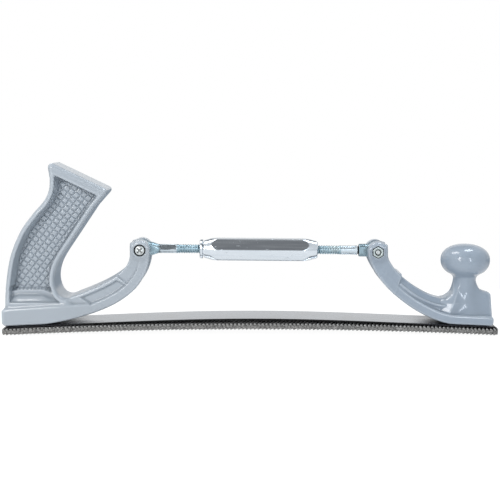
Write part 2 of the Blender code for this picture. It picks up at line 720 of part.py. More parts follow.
def knob_profile():
    """Column, neck and knob from the foot up, as (radius, height)."""
    inset, climb, drop = (value * MM for value in COLUMN_LEADS)
    column = bezier((COLUMN_FOOT, COLUMN_START), (COLUMN_FOOT - inset, COLUMN_START + climb),
                    (NECK_RADIUS, NECK_RISE - drop), (NECK_RADIUS, NECK_RISE), steps=PANEL_STEPS)
    leave = math.radians(KNOB_LEAVES)
    under = (KNOB_RADIUS * math.cos(leave), KNOB_CENTRE + KNOB_DOWN * math.sin(leave))
    climb, inset, drop = (value * MM for value in KNOB_LEADS)
    neck = bezier((NECK_RADIUS, NECK_RISE), (NECK_RADIUS, NECK_RISE + climb),
                  (under[0] - inset, under[1] - drop), under, steps=PANEL_STEPS)[1:]
    knob = []
    for i in range(1, KNOB_STEPS):
        angle = leave + (math.pi / 2 - leave) * i / KNOB_STEPS
        height = KNOB_UP if angle > 0 else KNOB_DOWN
        knob.append((KNOB_RADIUS * math.cos(angle), KNOB_CENTRE + height * math.sin(angle)))
    return [(0, COLUMN_START)] + column + neck + knob + [(0, KNOB_CENTRE + KNOB_UP)]


def front_arm(arm):
    """Front arm with its fork, thinned to a rib between the step and the column."""
    inside = KNOB_AXIS
    root = millimetres(FRONT_FILLET) + [(inside, NECK_RISE), (inside, COLUMN_START)]
    slab = arm_slab(FRONT, *arm, root)
    beam = solid("front_arm", narrowed(slab, FRONT, arm[1][0], RIB_END, FORK_HALF, RIB_END_HALF))
    waist = arm_panel(*arm, *FRONT_WAIST)
    waist += [(inside, NECK_RISE + CUT_PAST), (inside, FRONT_BASE_TOP)]
    combine(beam, pocket("front_waist", waist, FRONT, RIB_HALF, PANEL_DRAFT), "DIFFERENCE")
    return beam


def front_block():
    """Block behind the column, drawn in where it meets it."""
    low, high = (-BLOCK_OUT, COLUMN_START), (-BLOCK_OUT, BLOCK_TOP_OUT)
    inner = [(KNOB_AXIS, BLOCK_TOP_IN), (KNOB_AXIS, COLUMN_START)]
    outline = [low] + corner(low, high, inner[0], BLOCK_CORNER) + inner
    slab = prism(placed(FRONT, outline), rounded_layers(BLOCK_HALF, BLOCK_EDGE))
    return solid("front_block", narrowed(slab, FRONT, 0, KNOB_AXIS, BLOCK_HALF, BLOCK_END_HALF))


def front_handle(parent):
    pivot = (FRONT_PIVOT_REACH, FRONT_PIVOT_RISE)
    [crotch] = millimetres([FRONT_CROTCH])
    foot = foot_slab(FRONT, FRONT_BASE_OUT, FRONT_BASE_IN, FRONT_BASE_TOP, FRONT_BASE_TOP, FRONT_FLANGE,
                     pivot, FRONT_UNDER, FRONT_TAPER_END)
    handle = solid("front_handle", foot, PAINT, parent)
    combine(handle, front_arm((FRONT_BASE_IN, crotch, pivot, FRONT_UNDER, FRONT_OVER)), "UNION")
    combine(handle, front_block(), "UNION")
    x, z = world(FRONT, KNOB_AXIS, 0)
    column = turned(knob_profile(), Matrix.Translation((x, 0, z)), FINE_ROUND)
    combine(handle, solid("front_column", column), "UNION")
    cut_pivot(handle, FRONT_PIVOT, 1)
    cut_foot(handle, FRONT)


def file_blade():
    plate = bed_plate(blade_stations(), TOOTH_SPANS, COVERED_SPANS)
    blade = solid("file_blade", plate, FILE_STEEL, smooth=20)
    hole = BLADE_SCREW_RADIUS + HOLE_GAP
    mouth = BLADE_SCREW_HEAD + HOLE_GAP
    sink = BLADE_SCREW_SINK
    under, over = -CUT_PAST, BLADE_THICKNESS + CUT_PAST
    for end in (REAR, FRONT):
        profile = [(0, under), (mouth, under), (mouth, sink), (hole, sink + (mouth - hole) * HEAD_SLOPE),
                   (hole, over), (0, over)]
        cutter = solid(f"blade_hole_{end}", turned(profile, on_bed(end * SCREW_AT)))
        combine(blade, cutter, "DIFFERENCE")
    return blade


def flex_strip():
    strip = solid("flex_strip", bed_plate(strip_stations()), SPRING_STEEL)
    low, high = STRIP_BOTTOM - CUT_PAST, SEAT + CUT_PAST
    waist = STRIP_BOTTOM + STRIP_THICKNESS * RIVET_SHARE
    for end in (REAR, FRONT):
        hole = rod_shape(BLADE_SCREW_RADIUS + HOLE_GAP, low, high, on_bed(end * SCREW_AT))
        combine(strip, solid(f"strip_hole_{end}", hole), "DIFFERENCE")
        for side in (-1, 1):
            place = on_bed(end * SCREW_AT + side * RIVET_OFFSET)
            mouth, bore = RIVET_HEAD + HOLE_GAP, RIVET_RADIUS + HOLE_GAP
            profile = [(0, low), (mouth, low), (mouth, STRIP_BOTTOM), (bore, waist), (bore, high), (0, high)]
            sink = turned(profile, place, SMALL_ROUND)
            combine(strip, solid(f"strip_sink_{end}_{side}", sink), "DIFFERENCE")
    return strip


def blade_screw(name, end, parent):
    """Countersunk screw from below, with a driver slot."""
    sink, head, radius = BLADE_SCREW_SINK, BLADE_SCREW_HEAD, BLADE_SCREW_RADIUS
    top = SEAT + BLADE_SCREW_REACH
    profile = [(0, sink), (head, sink), (radius, sink + (head - radius) * HEAD_SLOPE),
               (radius, top - BLADE_SCREW_CHAMFER), (radius - BLADE_SCREW_CHAMFER, top), (0, top)]
    screw = solid(name, turned(profile, on_bed(end * SCREW_AT)), ZINC, parent)
    middle = on_bed(end * SCREW_AT) @ Matrix.Translation((0, 0, sink))
    slot = box((2 * (head + CUT_PAST), DRIVER_SLOT, 2 * DRIVER_SLOT), middle)
    combine(screw, solid(name + "_slot", slot), "DIFFERENCE")


def strip_rivet(name, along, parent):
    top = SEAT + RIVET_REACH
    sink = STRIP_BOTTOM + RIVET_SINK
    waist = STRIP_BOTTOM + STRIP_THICKNESS * RIVET_SHARE
    profile = [(0, sink), (RIVET_HEAD, sink), (RIVET_RADIUS, waist), (RIVET_RADIUS, top), (0, top)]
    solid(name, turned(profile, on_bed(along), SMALL_ROUND), SPRING_STEEL, parent)


def pivot_screw(name, pivot, head_side, parent):
    """Pan-head screw through both ears, its head at head_side."""
    under_head = FORK_HALF - COUNTERBORE_DEPTH + SEAT_GAP
    face = under_head + PIVOT_HEAD_HEIGHT
    crown, chamfer = PIVOT_HEAD_CROWN, PIVOT_CHAMFER
    profile = [(0, -FORK_HALF), (PIVOT_RADIUS - chamfer, -FORK_HALF), (PIVOT_RADIUS, chamfer - FORK_HALF),
               (PIVOT_RADIUS, under_head), (PIVOT_HEAD, under_head), (PIVOT_HEAD, face - crown),
               (PIVOT_HEAD - crown, face), (0, face)]
    place = facing_side(pivot, head_side)
    screw = solid(name, turned(profile, place), ZINC, parent)
    for turn in (0, math.pi / 2):
        bar = place @ Matrix.Translation((0, 0, face)) @ Matrix.Rotation(turn, 4, "Z")
        cutter = box((2 * RECESS_ARM, RECESS_WIDTH, 2 * RECESS_DEPTH), bar)
        combine(screw, solid(f"{name}_recess_{turn:.1f}", cutter), "DIFFERENCE")


def pivot_nut(name, pivot, nut_side, parent):
    """Hexagon nut with chamfered corners, sunk in its pocket."""
    floor = FORK_HALF - NUT_POCKET + SEAT_GAP
    face = floor + NUT_HEIGHT
    span = sorted((nut_side * floor, nut_side * face))
    hexagonal = prism(hexagon(NUT_ACROSS, pivot, math.pi / 6), [(span[0], 0), (span[1], 0)])
    nut = solid(name, hexagonal, ZINC, parent)
    outer = NUT_ACROSS / math.sqrt(3) + HOLE_GAP
    flat_radius = NUT_ACROSS / 2
    low = floor - CUT_PAST
    profile = [(0, low), (outer, low), (outer, face - outer + flat_radius), (flat_radius, face), (0, face)]
    place = facing_side(pivot, nut_side)
    combine(nut, solid(name + "_chamfer", turned(profile, place, FINE_ROUND)), "INTERSECT")
    bore = rod_shape(PIVOT_RADIUS + HOLE_GAP, floor - CUT_PAST, face + CUT_PAST, place)
    combine(nut, solid(name + "_bore", bore), "DIFFERENCE")


def eye_rod(name, pivot, points_to, collar, parent):
    """Threaded rod with an eye round the pivot; points_to is the X direction it points in."""
    tip = ROD_SHOWN + ROD_ENGAGED
    chamfer = ROD_CHAMFER
    start = (collar, COLLAR_ROOT)
    if collar == REAR_COLLAR:
        shoulder = [start, (collar, COLLAR_START)]
    else:
        shoulder = [start, (collar, COLLAR_END - chamfer), (collar - chamfer, COLLAR_END)]
    end = [(ROD_RADIUS, COLLAR_END), (ROD_RADIUS, tip - chamfer), (ROD_RADIUS - chamfer, tip), (0, tip)]
    profile = [(0, COLLAR_ROOT)] + shoulder + end
    lie = Matrix.Translation((pivot[0], 0, pivot[1])) @ Matrix.Rotation(AXIS_TILT, 4, "Y")
    rod = solid(name, turned(profile, lie @ Matrix.Rotation(points_to * math.pi / 2, 4, "Y")), ZINC, parent)
    slab = box((4 * tip, 2 * (EYE_HALF - EYE_FLAT), 4 * EYE_RADIUS), lie)
    combine(rod, solid(name + "_flats", slab), "INTERSECT")
    eye = rod_shape(EYE_RADIUS, -EYE_HALF, EYE_HALF, along_y(pivot), FINE_ROUND)
    combine(rod, solid(name + "_eye", eye), "UNION")
    bore = rod_shape(PIVOT_RADIUS + HOLE_GAP, -2 * EYE_HALF, 2 * EYE_HALF, along_y(pivot))
    combine(rod, solid(name + "_bore", bore), "DIFFERENCE")


def turnbuckle_sleeve(parent):
    """Hexagon bar turned down to cones at both ends, with a lip and groove at the left-hand end."""
    half = SLEEVE_LENGTH / 2
    lie = parent.matrix_world @ Matrix.Rotation(math.pi / 2, 4, "Y")
    across = SLEEVE_CORNER * math.sqrt(3)
    bar = prism(hexagon(across, (0, 0), 0), [(-half, 0), (half, 0)])
    bar.transform(parent.matrix_world @ Matrix.Rotation(-math.pi / 2, 4, "Z"))
    sleeve = solid("turnbuckle_sleeve", bar, BRIGHT_PLATING, parent)
    over = SLEEVE_CORNER + HOLE_GAP
    lip_end = SLEEVE_LIP_LENGTH - half
    groove_end = lip_end + SLEEVE_GROOVE_LENGTH
    profile = [(0, -half), (SLEEVE_LIP - SLEEVE_CHAMFER, -half), (SLEEVE_LIP, SLEEVE_CHAMFER - half),
               (SLEEVE_LIP, lip_end), (SLEEVE_GROOVE, lip_end), (SLEEVE_GROOVE, groove_end),
               (SLEEVE_NECK, groove_end), (over, SLEEVE_REAR_CONE - half), (over, half - SLEEVE_FRONT_CONE),
               (SLEEVE_NECK, half - SLEEVE_CHAMFER), (SLEEVE_NECK - SLEEVE_CHAMFER, half), (0, half)]
    combine(sleeve, solid("sleeve_turning", turned(profile, lie, FINE_ROUND)), "INTERSECT")
    bore = rod_shape(ROD_RADIUS + THREAD_GAP, -2 * half, 2 * half, lie)
    combine(sleeve, solid("sleeve_bore", bore), "DIFFERENCE")


def main():
    clear_scene()
    rear_flex = axis_empty("rear_flex_axis", (REAR_PIVOT[0], 0, FLEX_HEIGHT))
    front_flex = axis_empty("front_flex_axis", (FRONT_PIVOT[0], 0, FLEX_HEIGHT))
    rear_axis = axis_empty("rear_pivot_axis", (REAR_PIVOT[0], 0, REAR_PIVOT[1]), AXIS_TILT, rear_flex)
    front_axis = axis_empty("front_pivot_axis", (FRONT_PIVOT[0], 0, FRONT_PIVOT[1]), AXIS_TILT, front_flex)
    middle = [(a + b) / 2 for a, b in zip(REAR_PIVOT, FRONT_PIVOT)]
    spin = axis_empty("sleeve_axis", (middle[0], 0, middle[1]), AXIS_TILT)

    file_blade()
    flex_strip()
    rear_handle(rear_flex)
    front_handle(front_flex)
    eye_rod("left_hand_eye_rod", REAR_PIVOT, 1, REAR_COLLAR, rear_axis)
    eye_rod("right_hand_eye_rod", FRONT_PIVOT, -1, FRONT_COLLAR, front_axis)
    turnbuckle_sleeve(spin)
    pivots = (("rear", REAR_PIVOT, -1, rear_flex), ("front", FRONT_PIVOT, 1, front_flex))
    for word, pivot, head_side, parent in pivots:
        pivot_screw(f"{word}_pivot_screw", pivot, head_side, parent)
        pivot_nut(f"{word}_pivot_nut", pivot, -head_side, parent)
    for word, end, parent in (("rear", REAR, rear_flex), ("front", FRONT, front_flex)):
        blade_screw(f"{word}_blade_screw", end, parent)
        for place, side in (("outer", end), ("inner", -end)):
            strip_rivet(f"{word}_{place}_rivet", end * SCREW_AT + side * RIVET_OFFSET, parent)
    for obj in bpy.context.scene.objects:
        if obj.modifiers:
            obj.modifiers.new("flat_faces", "WEIGHTED_NORMAL").keep_sharp = True


main()
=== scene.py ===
import itertools
import math

import bmesh
import bpy
import numpy as np
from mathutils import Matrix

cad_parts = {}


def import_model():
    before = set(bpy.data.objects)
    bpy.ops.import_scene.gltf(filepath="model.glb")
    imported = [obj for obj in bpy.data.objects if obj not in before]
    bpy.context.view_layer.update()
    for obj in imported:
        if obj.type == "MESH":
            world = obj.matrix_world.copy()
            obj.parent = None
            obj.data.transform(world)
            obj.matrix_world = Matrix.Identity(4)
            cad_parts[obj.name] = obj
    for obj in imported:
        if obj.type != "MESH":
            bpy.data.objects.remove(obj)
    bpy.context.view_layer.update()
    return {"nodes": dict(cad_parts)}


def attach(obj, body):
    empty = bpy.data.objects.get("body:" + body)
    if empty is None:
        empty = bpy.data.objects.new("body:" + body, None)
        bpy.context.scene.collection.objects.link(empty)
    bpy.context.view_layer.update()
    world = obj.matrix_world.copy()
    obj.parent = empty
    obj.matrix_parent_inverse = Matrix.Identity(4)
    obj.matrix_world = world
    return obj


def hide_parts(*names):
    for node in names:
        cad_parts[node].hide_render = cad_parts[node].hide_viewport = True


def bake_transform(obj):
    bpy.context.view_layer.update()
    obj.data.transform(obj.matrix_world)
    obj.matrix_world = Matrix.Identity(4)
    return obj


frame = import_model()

MM = 0.001

# Sizes in millimetres. They are those of the CAD model, apart from TOOTH_DEPTH, HORN_RISE, ROD_RADIUS,
# SLEEVE_BORE and the thread, which are set to look like the photo.
BLADE_LENGTH, BLADE_HALF, BLADE_THICKNESS, BLADE_CORNER = 355.0, 17.5, 4.6, 5.0
TOOTH_PITCH, TOOTH_DEPTH, TOOTH_FACE, TOOTH_BOW = 2.8, 1.05, 0.4, 3.5
ARCH_RISE = 4.3
STRIP_LENGTH, STRIP_HALF, STRIP_THICKNESS, STRIP_CORNER, STRIP_BOW = 350.0, 15.5, 1.2, 4.0, 1.6
SEAT_GAP = 0.3
SCREW_INSET = 16.0
BLADE_SCREW_RADIUS, BLADE_SCREW_HEAD, BLADE_SCREW_SINK = 2.5, 4.6, 0.5
FORK_HALF, BASE_HALF, GRIP_HALF = 12.5, 16.5, 15.0
EAR_RADIUS, HORN_RISE, SLOT_DEPTH, EYE_SLOT = 7.1, 5.0, 15.0, 4.3
REAR_PIVOT_UV, FRONT_PIVOT_UV = (83.4, 53.4), (70.8, 52.0)
PIVOT_RADIUS, PIVOT_HEAD, COUNTERBORE, COUNTERBORE_DEPTH = 2.0, 3.5, 4.2, 2.0
NUT_ACROSS, NUT_HEIGHT, NUT_POCKET = 7.0, 3.2, 2.8
ROD_RADIUS, ROD_SHOWN, ROD_ENGAGED, SLEEVE_BORE = 3.2, 42.2, 20.0, 3.8
EYE_RADIUS, EYE_HALF = 6.5, 4.0
THREAD_PITCH, THREAD_DEPTH = 1.8, 0.55

ARCH_RADIUS = (BLADE_LENGTH**2 / 4 + ARCH_RISE**2) / (2 * ARCH_RISE)
SCREW_AT = BLADE_LENGTH / 2 - SCREW_INSET
STRIP_BOTTOM = BLADE_THICKNESS + SEAT_GAP
SEAT = STRIP_BOTTOM + STRIP_THICKNESS + SEAT_GAP
REAR, FRONT = -1, 1


def bent(along, height):
    """Place on the arch of the bed: distance along the blade, height above its tooth tips."""
    angle = np.asarray(along) / ARCH_RADIUS
    out = ARCH_RADIUS + np.asarray(height)
    return out * np.sin(angle), ARCH_RISE - ARCH_RADIUS + out * np.cos(angle)


SEAT_X, SEAT_Z = (float(v) for v in bent(SCREW_AT, SEAT))
SEAT_SLOPE = math.tan(SCREW_AT / ARCH_RADIUS)


def world(end, u, v):
    """x and z of a place that is given in the u and v of an outline."""
    return end * (SEAT_X - u), SEAT_Z + v


REAR_PIVOT, FRONT_PIVOT = world(REAR, *REAR_PIVOT_UV), world(FRONT, *FRONT_PIVOT_UV)


# Materials
class Nodes:
    """Makes and links the nodes of one tree."""

    def __init__(self, tree):
        self.tree = tree

    def node(self, kind, inputs=(), **settings):
        made = self.tree.nodes.new("ShaderNode" + kind)
        for key, value in settings.items():
            setattr(made, key, value)
        for key, value in dict(inputs).items():
            self.feed(made.inputs[key], value)
        return made

    def out(self, kind, inputs):
        return self.node(kind, inputs).outputs[0]

    def feed(self, socket, value):
        """Links a socket, or sets it to a number, a vector or a colour of three values."""
        if isinstance(value, bpy.types.NodeSocket):
            self.tree.links.new(value, socket)
        else:
            socket.default_value = (*value, 1) if socket.type == "RGBA" else value

    def ramp(self, value, low=0.3, high=0.7, to_low=0.0, to_high=1.0):
        """Maps one range to another. Most of a noise lies between 0.3 and 0.7."""
        limits = {"From Min": low, "From Max": high, "To Min": to_low, "To Max": to_high}
        return self.out("MapRange", {"Value": value, **limits})

    def math(self, kind, *values):
        return self.node("Math", enumerate(values), operation=kind).outputs[0]

    def mix(self, share, a, b):
        return self.node("Mix", {"Factor": share, "A": a, "B": b}, data_type="RGBA").outputs["Result"]

    def blend(self, share, a, b):
        return self.out("MixShader", {"Fac": share, 1: a, 2: b})


class Look(Nodes):
    """A material whose detail comes from nodes in object space."""

    def __init__(self, name, **sockets):
        self.material = bpy.data.materials.new(name)
        self.material.use_nodes = True
        super().__init__(self.material.node_tree)
        self.shader = self.tree.nodes["Principled BSDF"]
        for key, value in sockets.items():
            self.shader.inputs[key.replace("_", " ")].default_value = value
        self.place = self.node("TexCoord").outputs["Object"]

    def noise(self, scale, detail, stretch=None):
        place = self.place
        if stretch:
            place = self.out("Mapping", {"Vector": place, "Scale": stretch})
        return self.out("TexNoise", {"Vector": place, "Scale": scale, "Detail": detail})

    def attribute(self, name):
        return self.node("Attribute", attribute_name=name).outputs["Fac"]

    def over(self, share, colour):
        """Lays a share of a colour over the colours so far."""
        self.colour = self.mix(share, self.colour, colour)

    def done(self, roughness, height, distance, strength):
        """The material, with bumps of the given height field, whose distance is in metres."""
        bump = self.out("Bump", {"Height": height, "Distance": distance, "Strength": strength})
        for key, value in (("Base Color", self.colour), ("Roughness", roughness), ("Normal", bump)):
            self.feed(self.shader.inputs[key], value)
        return self.material


PAINT_LOW, PAINT_HIGH = np.array([0.355, 0.41, 0.475]), np.array([0.385, 0.44, 0.505])


def paint_look(name, shade):
    look = Look(name, IOR=1.5, Specular_IOR_Level=0.2, Coat_Weight=0.8, Coat_Roughness=0.12)
    look.colour = look.mix(look.ramp(look.noise(22, 3)), PAINT_LOW * shade, PAINT_HIGH * shade)
    speck = look.ramp(look.noise(2600, 2), 0.62, 0.72, 0, 0.25)
    look.over(speck, (0.47, 0.52, 0.58))
    # The bend of the surface lightens outer edges, as wear and painted highlight, and darkens corners, as dirt
    # and painted shade.
    edge = look.attribute("edge")
    look.over(look.ramp(edge, 0.12, 0.6, 0, 0.36), (0.56, 0.61, 0.66))
    look.over(look.ramp(edge, -0.12, -0.6, 0, 0.28), (0.17, 0.2, 0.235))
    # Painted shade in each fork's slot, counterbore and nut pocket, and round its pivot.
    look.over(look.attribute("painted_shade"), (0.012, 0.013, 0.014))
    roughness = look.ramp(look.noise(140, 4), to_low=0.3, to_high=0.44)
    lumps = look.math("ADD", look.noise(180, 2), look.math("MULTIPLY", look.noise(1100, 2), 0.25))
    return look.done(roughness, lumps, 0.00014, 0.5)


def file_look():
    look = Look("file_steel", Metallic=0.55)
    grain = look.noise(1100, 3)
    look.colour = look.mix(look.ramp(grain, 0.35, 0.7), (0.05, 0.049, 0.048), (0.385, 0.38, 0.37))
    patch = look.ramp(look.noise(120, 4), 0.35, 0.75, 0, 0.5)
    look.over(patch, (0.13, 0.128, 0.122))
    # Painted shadow on the upper face under the strip, and painted shade in the tooth roots.
    for word, share, dark in (("strip_shadow", 0.97, 0.003), ("root", 0.95, 0.006)):
        look.over(look.math("MULTIPLY", look.attribute(word), share), (dark, dark, dark))
    # Tooth tips lighter, as painted highlight.
    tip = look.math("MULTIPLY", look.attribute("tip"), look.ramp(grain, 0.3, 0.6, 0.45, 0.95))
    look.over(tip, (0.66, 0.66, 0.65))
    roughness = look.ramp(grain, to_low=0.4, to_high=0.65)
    return look.done(roughness, look.noise(2200, 2), 0.00015, 0.6)


def strip_look():
    look = Look("spring_steel", Metallic=0.9)
    streak = look.noise(500, 3, stretch=(0.04, 1, 1))
    look.colour = look.mix(look.ramp(streak), (0.42, 0.435, 0.455), (0.54, 0.555, 0.575))
    stain = look.ramp(look.noise(45, 4), 0.55, 0.8, 0, 0.35)
    look.over(stain, (0.42, 0.4, 0.38))
    # Edges painted almost black and the underside darkened, as painted shade; the top darkened towards the feet,
    # as their painted shadow.
    rim = look.math("MULTIPLY", look.attribute("rim"), 0.98)
    look.over(rim, (0.003, 0.003, 0.003))
    look.over(look.attribute("shade"), (0.03, 0.03, 0.036))
    roughness = look.ramp(streak, to_low=0.18, to_high=0.3)
    return look.done(roughness, streak, 0.00002, 0.3)


def zinc_look(name, low, high, tint):
    look = Look(name, Metallic=1.0)
    look.colour = look.mix(look.ramp(look.noise(160, 3)), low, high)
    yellow = look.ramp(look.noise(90, 2), 0.56, 0.72, 0, 0.4)
    look.over(yellow, tint)
    # A painted sheen on plain shanks, and painted shade in recesses, grooves and on a rod's flat.
    look.over(look.attribute("painted_sheen"), (0.62, 0.68, 0.73))
    look.over(look.attribute("painted_shade"), (0.01, 0.01, 0.01))
    roughness = look.ramp(look.noise(420, 3), to_low=0.32, to_high=0.44)
    return look.done(roughness, look.noise(900, 2), 0.00006, 0.4)


def plating_look():
    look = Look("bright_plating", Metallic=1.0)
    streak = look.noise(650, 3, stretch=(0.05, 1, 1))
    scratch = look.ramp(look.noise(900, 2, stretch=(0.25, 1, 0.4)), 0.66, 0.7)
    look.colour = look.mix(look.ramp(streak), (0.58, 0.635, 0.69), (0.67, 0.72, 0.77))
    roughness = look.ramp(streak, to_low=0.12, to_high=0.22)
    roughness = look.math("ADD", roughness, look.math("MULTIPLY", scratch, 0.18))
    height = look.math("ADD", look.noise(110, 2), look.math("MULTIPLY", scratch, 0.2))
    return look.done(roughness, height, 0.00008, 0.35)


# Objects and meshes
def placed(name, data):
    obj = bpy.data.objects.new(name, data)
    bpy.context.scene.collection.objects.link(obj)
    return obj


def piece(name, points, faces, look, flat_over=None):
    """An object made from points in millimetres, with edges sharper than flat_over degrees kept sharp."""
    mesh = bpy.data.meshes.new(name)
    mesh.from_pydata((np.asarray(points) * MM).tolist(), [], [list(f) for f in faces])
    mesh.update()
    mesh.shade_smooth()
    if flat_over:
        mesh.set_sharp_from_angle(angle=math.radians(flat_over))
    mesh.materials.append(look)
    return placed(name, mesh)


def marked(obj, name, values):
    mark = obj.data.attributes.new(name, "FLOAT", "POINT")
    mark.data.foreach_set("value", np.asarray(values, np.float32).ravel())


def loft(rings, capped=True):
    """Points and faces of a skin over closed rings of one size, with its ends filled."""
    rings = np.asarray(rings)
    count, around = rings.shape[:2]
    index = np.arange(count * around).reshape(count, around)
    ahead = np.roll(index, -1, axis=1)
    faces = np.stack([index[:-1], ahead[:-1], ahead[1:], index[1:]], -1).reshape(-1, 4).tolist()
    if capped:
        faces += [index[0][::-1].tolist(), index[-1].tolist()]
    return rings.reshape(-1, 3), faces


def outward(obj):
    """Turns the faces of every closed shell in a mesh outwards."""
    shells = bmesh.new()
    shells.from_mesh(obj.data)
    bmesh.ops.recalc_face_normals(shells, faces=shells.faces)
    shells.to_mesh(obj.data)
    shells.free()
    return obj


def surface_net(field, low, step):
    """Points and faces of the surface where a sampled field is zero, faces turned out of the negative side."""
    inside = field < 0
    shape = np.array(field.shape) - 1
    offsets = list(itertools.product((0, 1), repeat=3))
    parts = [inside[i : i + shape[0], j : j + shape[1], k : k + shape[2]] for i, j, k in offsets]
    total = np.sum(parts, axis=0, dtype=np.int8)
    active = (total > 0) & (total < 8)
    cells = np.argwhere(active)
    index = np.full(shape, -1)
    index[active] = np.arange(len(cells))
    values = [field[tuple((cells + o).T)] for o in offsets]
    crossing, weight = np.zeros((len(cells), 3)), np.zeros(len(cells))
    for a, b in itertools.combinations(range(8), 2):
        start, end = np.array(offsets[a]), np.array(offsets[b])
        if np.abs(end - start).sum() != 1:
            continue
        cut = (values[a] < 0) != (values[b] < 0)
        share = values[a][cut] / (values[a][cut] - values[b][cut])
        crossing[cut] += start + share[:, None] * (end - start)
        weight[cut] += 1
    points = low + step * (cells + crossing / weight[:, None])
    faces = []
    for axis in range(3):
        one, two = (axis + 1) % 3, (axis + 2) % 3
        first = np.moveaxis(inside, (axis, one, two), (0, 1, 2))
        net = np.moveaxis(index, (axis, one, two), (0, 1, 2))
        changes = first[:-1, 1:-1, 1:-1] != first[1:, 1:-1, 1:-1]
        i, j, k = np.nonzero(changes)
        quad = np.stack([net[i, j, k], net[i, j + 1, k], net[i, j + 1, k + 1], net[i, j, k + 1]], -1)
        turn = ~first[:-1, 1:-1, 1:-1][changes]
        quad[turn] = quad[turn][:, ::-1]
        faces.append(quad)
    return points, np.concatenate(faces), cells


def smooth_min(a, b, k):
    """The smaller of two fields, which run into each other over k."""
    h = np.clip(0.5 + 0.5 * (b - a) / k, 0, 1)
    return b + (a - b) * h - k * h * (1 - h)


def smooth_max(a, b, k):
    return -smooth_min(-a, -b, k)


def smoothstep(t):
    t = np.clip(t, 0, 1)
    return t * t * (3 - 2 * t)


def unit(ways):
    return ways / np.linalg.norm(ways, axis=-1, keepdims=True)


def line_distance(line, x, z):
    """Distance from points to an open line."""
    best = np.full(x.shape, np.inf)
    for (ax, az), (bx, bz) in zip(line, line[1:]):
        ex, ez = bx - ax, bz - az
        t = np.clip(((x - ax) * ex + (z - az) * ez) / max(ex * ex + ez * ez, 1e-12), 0, 1)
        best = np.minimum(best, (x - ax - t * ex) ** 2 + (z - az - t * ez) ** 2)
    return np.sqrt(best)


def polygon(outline, x, z):
    """Signed distance from points to a closed outline, negative inside."""
    outline = np.asarray(outline, float)
    outline = np.concatenate([outline, outline[:1]])
    inside = np.zeros(x.shape, bool)
    for (ax, az), (bx, bz) in zip(outline, outline[1:]):
        if az != bz:
            inside ^= ((az > z) != (bz > z)) & (x < ax + (z - az) * (bx - ax) / (bz - az))
    return np.where(inside, -1, 1) * line_distance(outline, x, z)


def slab(side, across, half, edge):
    """A side view given by its distance field, as thick as 2 * half, with edges rounded by edge."""
    a, b = side + edge, np.abs(across) - half + edge
    return np.minimum(np.maximum(a, b), 0) + np.hypot(np.maximum(a, 0), np.maximum(b, 0)) - edge


def bevelled(side, across, half, bevel):
    """The same with straight bevels instead."""
    b = np.abs(across) - half
    return np.maximum(np.maximum(side, b), (side + b + bevel) / math.sqrt(2))


# Outlines, in u from a blade screw towards the middle of the tool and v up from the strip
CURVE_STEPS, PANEL_STEPS = 8, 12


def bezier(a, b, c, d, first=0.0, last=1.0, steps=24):
    t = np.linspace(first, last, steps + 1)[:, None]
    a, b, c, d = (np.asarray(p, float) for p in (a, b, c, d))
    return (1 - t) ** 3 * a + 3 * t * (1 - t) ** 2 * b + 3 * t * t * (1 - t) * c + t**3 * d


def through(points):
    """A smooth curve through points."""
    p = np.asarray([points[0], *points, points[-1]], float)
    t = (np.arange(CURVE_STEPS) / CURVE_STEPS)[:, None]
    spans = [
        0.5 * (2 * b + (c - a) * t + (2 * a - 5 * b + 4 * c - d) * t**2 + (3 * b - a - 3 * c + d) * t**3)
        for a, b, c, d in zip(p, p[1:], p[2:], p[3:])
    ]
    return np.concatenate([*spans, p[-1:]])


def beside(curve, distance):
    along = unit(np.gradient(curve, axis=0))
    return curve + distance * np.stack([-along[:, 1], along[:, 0]], -1)


# An arm is given by the inner end of its foot, its crotch, its pivot, and leads for its lower and upper curve
def under_curve(arm, *span):
    base_in, _, pivot, lead, _ = arm
    start, side = (base_in, SEAT_SLOPE * base_in), pivot[0] + EAR_RADIUS
    return bezier(start, (base_in + lead[0], start[1] + lead[1]), (side, pivot[1] - lead[2]),
                  (side, pivot[1]), *span)


def over_curve(arm, *span):
    _, crotch, pivot, _, lead = arm
    side, top = pivot[0] - EAR_RADIUS, pivot[1] - lead[3]
    return bezier(crotch, (crotch[0] + lead[0], crotch[1] + lead[1]), (side, top - lead[2]),
                  (side, top), *span)


def ear_curve(pivot):
    angle = np.radians(np.linspace(5, 125, 20))
    arc = np.stack([pivot[0] + EAR_RADIUS * np.cos(angle), pivot[1] + EAR_RADIUS * np.sin(angle)], -1)
    return np.concatenate([arc, [(pivot[0] - EAR_RADIUS, pivot[1] + HORN_RISE)]])


def corner(before, at, after, radius):
    """An arc that rounds the corner at."""
    before, at, after = (np.asarray(p, float) for p in (before, at, after))
    back, ahead = unit(before - at), unit(after - at)
    half = math.acos(np.clip(back @ ahead, -1, 1)) / 2
    middle = unit(back + ahead)
    centre = at + middle * radius / math.sin(half)
    sweep = np.linspace(-1, 1, CURVE_STEPS + 1)[:, None] * (math.pi / 2 - half)
    side = unit(ahead - middle * (ahead @ middle))
    return centre + radius * (side * np.sin(sweep) - middle * np.cos(sweep))


def joined(*curves):
    return np.concatenate([np.asarray(c, float).reshape(-1, 2) for c in curves])


RELAX_TIMES, LAY_TIMES, MOST_MOVE, LEAST_SLOPE = 3, 2, 0.3, 0.2


